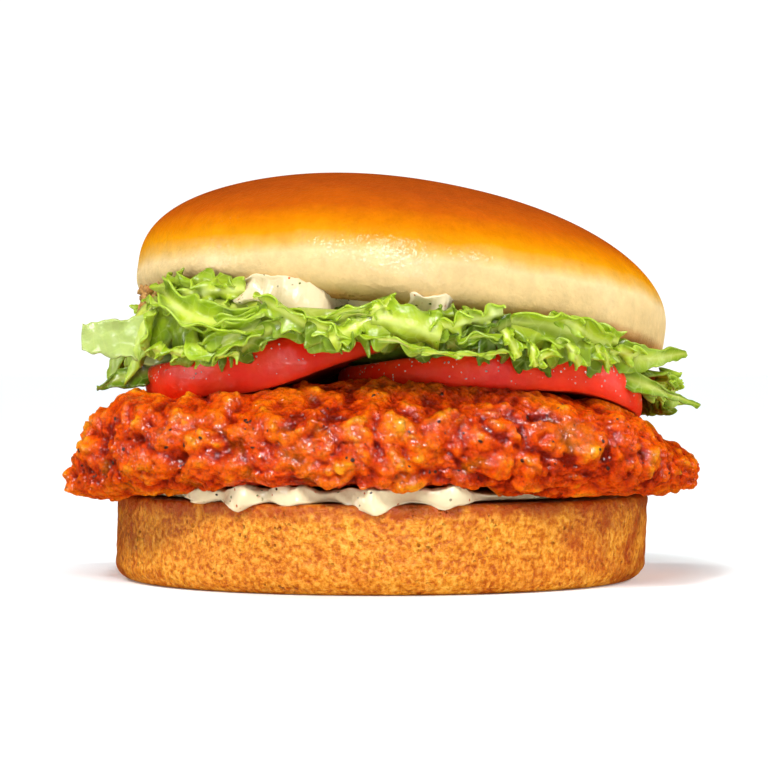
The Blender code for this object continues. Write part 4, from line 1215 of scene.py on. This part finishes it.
def make_salad():
    """All the leaves and the bed under them, as a list of pieces."""
    material = leaf_material()
    draw = random.Random(SALAD_SEED)
    front = []
    for number, (start, end, *shape) in enumerate(FRONT_LEAVES):
        start, end = ((x, z, out - FRONT_LEAF_SETBACK) for x, z, out in (start, end))
        surface = leaf_surface(front_root(start, end), *shape, number * 1.7)
        # The front leaves stand under the crown's edge, behind the loose ones: halving their value paints
        # them in shade.
        front.append(leaf_grid(surface, -0.5, 0.5 * FRONT_TINTS_AND_SHADES[number], *FRONT_GRID))
    sides = []
    for number, (start, end, *shape) in enumerate(SIDE_LEAVES):
        surface = blade_surface(front_root(start, end), *shape, number * 2.3)
        sides.append(leaf_grid(surface, 0.0, SIDE_TINTS_AND_SHADES[number], *SIDE_GRID))
    backs = []
    for number in range(BACK_LEAF_COUNT):
        surface = back_leaf(number, draw)
        backs.append(leaf_grid(surface, -0.5, draw.uniform(0.3, 1.0), *BACK_GRID))
    loose = []
    for number, (*shape, tint_and_shade) in enumerate(LOOSE_LEAVES):
        surface = loose_surface(*shape, number * 1.9)
        loose.append(leaf_grid(surface, -1.0, min(tint_and_shade, BRIGHTEST_LOOSE_TINT), *LOOSE_GRID))
    ring = []
    for number in range(RING_LEAF_COUNT):
        surface = ring_leaf(number, draw)
        ring.append(leaf_grid(surface, -1.0, draw.choice((0.3, 0.55, 0.8, 0.95)), *RING_GRID))
    groups = {"loose": loose, "ring": ring, "front": front, "side": sides, "back": backs}
    pieces = [joined_leaves(name + "_leaves", grids, material) for name, grids in groups.items()]
    return pieces + [make_salad_bed(material)]


# Small things on the surfaces


def finish_grains(name, grains, material):
    """Makes one piece of all the grains that were put together."""
    points = [v.co.copy() for v in grains.verts]
    grains.verts.index_update()
    faces = [tuple(v.index for v in f.verts) for f in grains.faces]
    grains.free()
    return finish_piece(name, points, faces, {}, material)


def scatter(name, host, kind, keep, material, detail=2):
    """Small uneven grains set on the host's surface where the keep rule allows one."""
    count, sizes, flatness, sink, seed = kind
    draw = random.Random(seed)
    mesh = host.data
    chosen = []
    while len(chosen) < count:
        vertex = mesh.vertices[draw.randrange(len(mesh.vertices))]
        if keep(vertex.co, vertex.normal):
            chosen.append((vertex.co.copy(), vertex.normal.copy()))
    bm = bmesh.new()
    for place, normal in chosen:
        size = draw.uniform(*sizes)
        turn = normal.to_track_quat("Z", "Y").to_matrix().to_4x4()
        spin = Matrix.Rotation(draw.uniform(0, 6.28), 4, "Z")
        scale = Matrix.Diagonal((size, size * draw.uniform(0.5, 1.0), size * flatness, 1.0))
        where = Matrix.Translation(place - normal * size * sink)
        made = bmesh.ops.create_icosphere(bm, subdivisions=detail, radius=1.0)
        for vertex in made["verts"]:
            vertex.co *= 1.0 + draw.uniform(-0.12, 0.12) * (1.0 if flatness < 0.5 else 0.2)
        bmesh.ops.transform(bm, matrix=where @ turn @ spin @ scale, verts=made["verts"])
    return finish_grains(name, bm, material)


def make_torn_lip(material):
    """Torn toasted bread that hangs under the crown's left edge."""
    draw = random.Random(TORN_GRAIN_SEED)
    bm = bmesh.new()
    for _ in range(TORN_GRAIN_COUNT):
        angle = math.radians(draw.uniform(176, 222))
        depth = draw.random()
        radius = CROWN_RADIUS - mix(1.4, 7.0, depth) * MM
        own = Vector((radius * math.cos(angle), radius * math.sin(angle), draw.uniform(-2.9, 1.6) * MM))
        size = draw.uniform(0.6, 1.4) * MM
        turn = Euler((draw.uniform(0, 3), draw.uniform(0, 3), 0.0)).to_matrix().to_4x4()
        scale = Matrix.Diagonal((size, size * draw.uniform(0.6, 1.0), size * 0.7, 1.0))
        where = Matrix.Translation(placed(own, CROWN_CENTRE, CROWN_TURN) + SHIFT)
        made = bmesh.ops.create_icosphere(bm, subdivisions=2, radius=1.0)
        for vertex in made["verts"]:
            vertex.co *= 1.0 + 0.5 * noise.noise(vertex.co * 1.6 + own * 900)
        bmesh.ops.transform(bm, matrix=where @ turn @ scale, verts=made["verts"])
    return finish_grains("torn_lip", bm, material)


def add_flecks(fillet):
    def on_side(co, normal):
        return -0.5 < normal.z < 0.75

    scatter("pepper_flecks", fillet, FLECKS, on_side, fleck_material())


def add_crumbs(crown):
    """Torn bread along the left of the crown's lower edge."""

    def torn_edge(co, normal):
        low = cut_face_height(co.x - SHIFT.x, co.y - SHIFT.y)
        return co.x < -33 * MM and co.y < 4 * MM and low - 1 * MM < co.z < low + 1.8 * MM

    crumb = crumb_material()
    make_torn_lip(crumb)
    scatter("torn_crumb", crown, CRUMBS, torn_edge, crumb)


def add_drops(left, right):
    def wet(co, normal):
        return normal.y < 0.2 and co.y < -20 * MM and normal.z > -0.2

    painted_glint_water = water_painted_glint_material()
    scatter("left_drops", left, LEFT_DROPS, wet, painted_glint_water, 1)
    scatter("right_drops", right, RIGHT_DROPS, wet, painted_glint_water, 1)


# Stage


def make_sky():
    """A white band all round behind the burger and a dimmer dome, both kept out of the gloss."""
    world = bpy.data.worlds.new("studio")
    world.use_nodes = True
    tree = world.node_tree
    background = tree.nodes["Background"]
    place = tree.nodes.new("ShaderNodeTexCoord").outputs["Generated"]
    split = tree.nodes.new("ShaderNodeSeparateXYZ")
    tree.links.new(place, split.inputs[0])
    ramp = tree.nodes.new("ShaderNodeValToRGB")
    elements = ramp.color_ramp.elements
    elements[0].position, elements[1].position = 0.16, 0.30
    elements[0].color = (SKY_BAND, SKY_BAND, SKY_BAND, 1.0)
    elements[1].color = (SKY_DOME, SKY_DOME, SKY_DOME, 1.0)
    tree.links.new(split.outputs["Z"], ramp.inputs["Fac"])
    tree.links.new(ramp.outputs["Color"], background.inputs["Color"])
    world.cycles_visibility.glossy = False
    bpy.context.scene.world = world


def add_lamp(name, data, place, aim):
    """Puts a lamp or the camera at its place and turns it to what it aims at."""
    lamp = bpy.data.objects.new(name, data)
    lamp.location = place
    lamp.rotation_euler = (Vector(aim) - Vector(place)).to_track_quat("-Z", "Y").to_euler()
    bpy.context.scene.collection.objects.link(lamp)
    return lamp


def add_sun(name, place, strength, softness):
    """An even soft light from the given side, kept out of the reflections."""
    data = bpy.data.lights.new(name, "SUN")
    data.energy = strength
    data.angle = math.radians(softness)
    add_lamp(name, data, place, (0.0, 0.0, 0.0)).visible_glossy = False


def add_panel(name, place, size_x, size_y, watts, colour, gloss_only):
    """A flat lamp. One for the gloss only shows in reflections and lights nothing else."""
    data = bpy.data.lights.new(name, "AREA")
    data.shape = "RECTANGLE"
    data.size = size_x
    data.size_y = size_y
    data.energy = watts
    data.color = colour
    add_lamp(name, data, place, LAMP_AIM).visible_diffuse = not gloss_only


def make_floor():
    mesh = bpy.data.meshes.new("floor")
    half = FLOOR_HALF_SIZE
    corners = [(-half, -half, 0), (half, -half, 0), (half, half, 0), (-half, half, 0)]
    mesh.from_pydata(corners, [], [(0, 1, 2, 3)])
    floor = bpy.data.objects.new("floor", mesh)
    bpy.context.scene.collection.objects.link(floor)
    white = Shader("white_floor")
    white.set(Roughness=0.9, Specular_IOR_Level=0.1, Emission_Strength=0.12)
    white.set(Base_Color=(0.89, 0.95, 0.97, 1.0), Emission_Color=(1.0, 1.0, 1.0, 1.0))
    mesh.materials.append(white.material)
    floor.visible_glossy = False


def make_camera():
    """The camera straight in front, a little over the burger's middle and aimed slightly down."""
    data = bpy.data.cameras.new("camera")
    data.lens = CAMERA_LENS
    data.sensor_width = 36.0
    data.clip_start = 0.05
    place = Vector((SHIFT.x, -CAMERA_DISTANCE, CAMERA_HEIGHT))
    bpy.context.scene.camera = add_lamp("camera", data, place, (SHIFT.x, 0.0, CAMERA_AIM_HEIGHT))


def make_stage():
    """A white floor and soft light from above and the front, with small lamps for the gloss."""
    make_floor()
    make_sky()
    for sun in SUNS:
        add_sun(*sun)
    for lamp in LAMPS:
        add_panel(*lamp)
    make_camera()
    bpy.context.scene.view_settings.view_transform = "Standard"
    bpy.context.scene.view_settings.look = "None"


def main():
    make_stage()
    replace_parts(make_heel(), "bun_bottom")
    crown = make_crown()
    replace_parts(crown, "bun_top")
    fillet = make_fillet()
    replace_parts(fillet, "chicken_fillet")

    red = tomato_material()
    left = make_tomato("slice_left", red, *TOMATO_LEFT)
    right = make_tomato("slice_right", red, *TOMATO_RIGHT)
    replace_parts(left, "tomato_left")
    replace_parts(right, "tomato_right")

    cream = sauce_material()
    low_place = Vector((HEEL_CENTRE_X, 0.0, HEEL_HEIGHT + GAP + SAUCE_THICKNESS))
    low_shape = (LOWER_SAUCE_RADIUS, LOWER_SAUCE_LOBES, lambda radius: 0.0, low_place, (0, 0, 0))
    low = make_sauce("sauce_on_heel", cream, *low_shape)
    high_place = CROWN_CENTRE - Vector((0.0, 0.0, GAP))
    high_shape = (UPPER_SAUCE_RADIUS, UPPER_SAUCE_LOBES, hollow_depth, high_place, CROWN_TURN)
    high = make_sauce("sauce_on_crown", cream, *high_shape, cling=True)
    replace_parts(low, "sauce_lower")
    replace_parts(high, "sauce_upper")

    for piece in make_salad():
        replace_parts(piece, "lettuce")

    add_flecks(fillet)
    add_crumbs(crown)
    add_drops(left, right)


main()
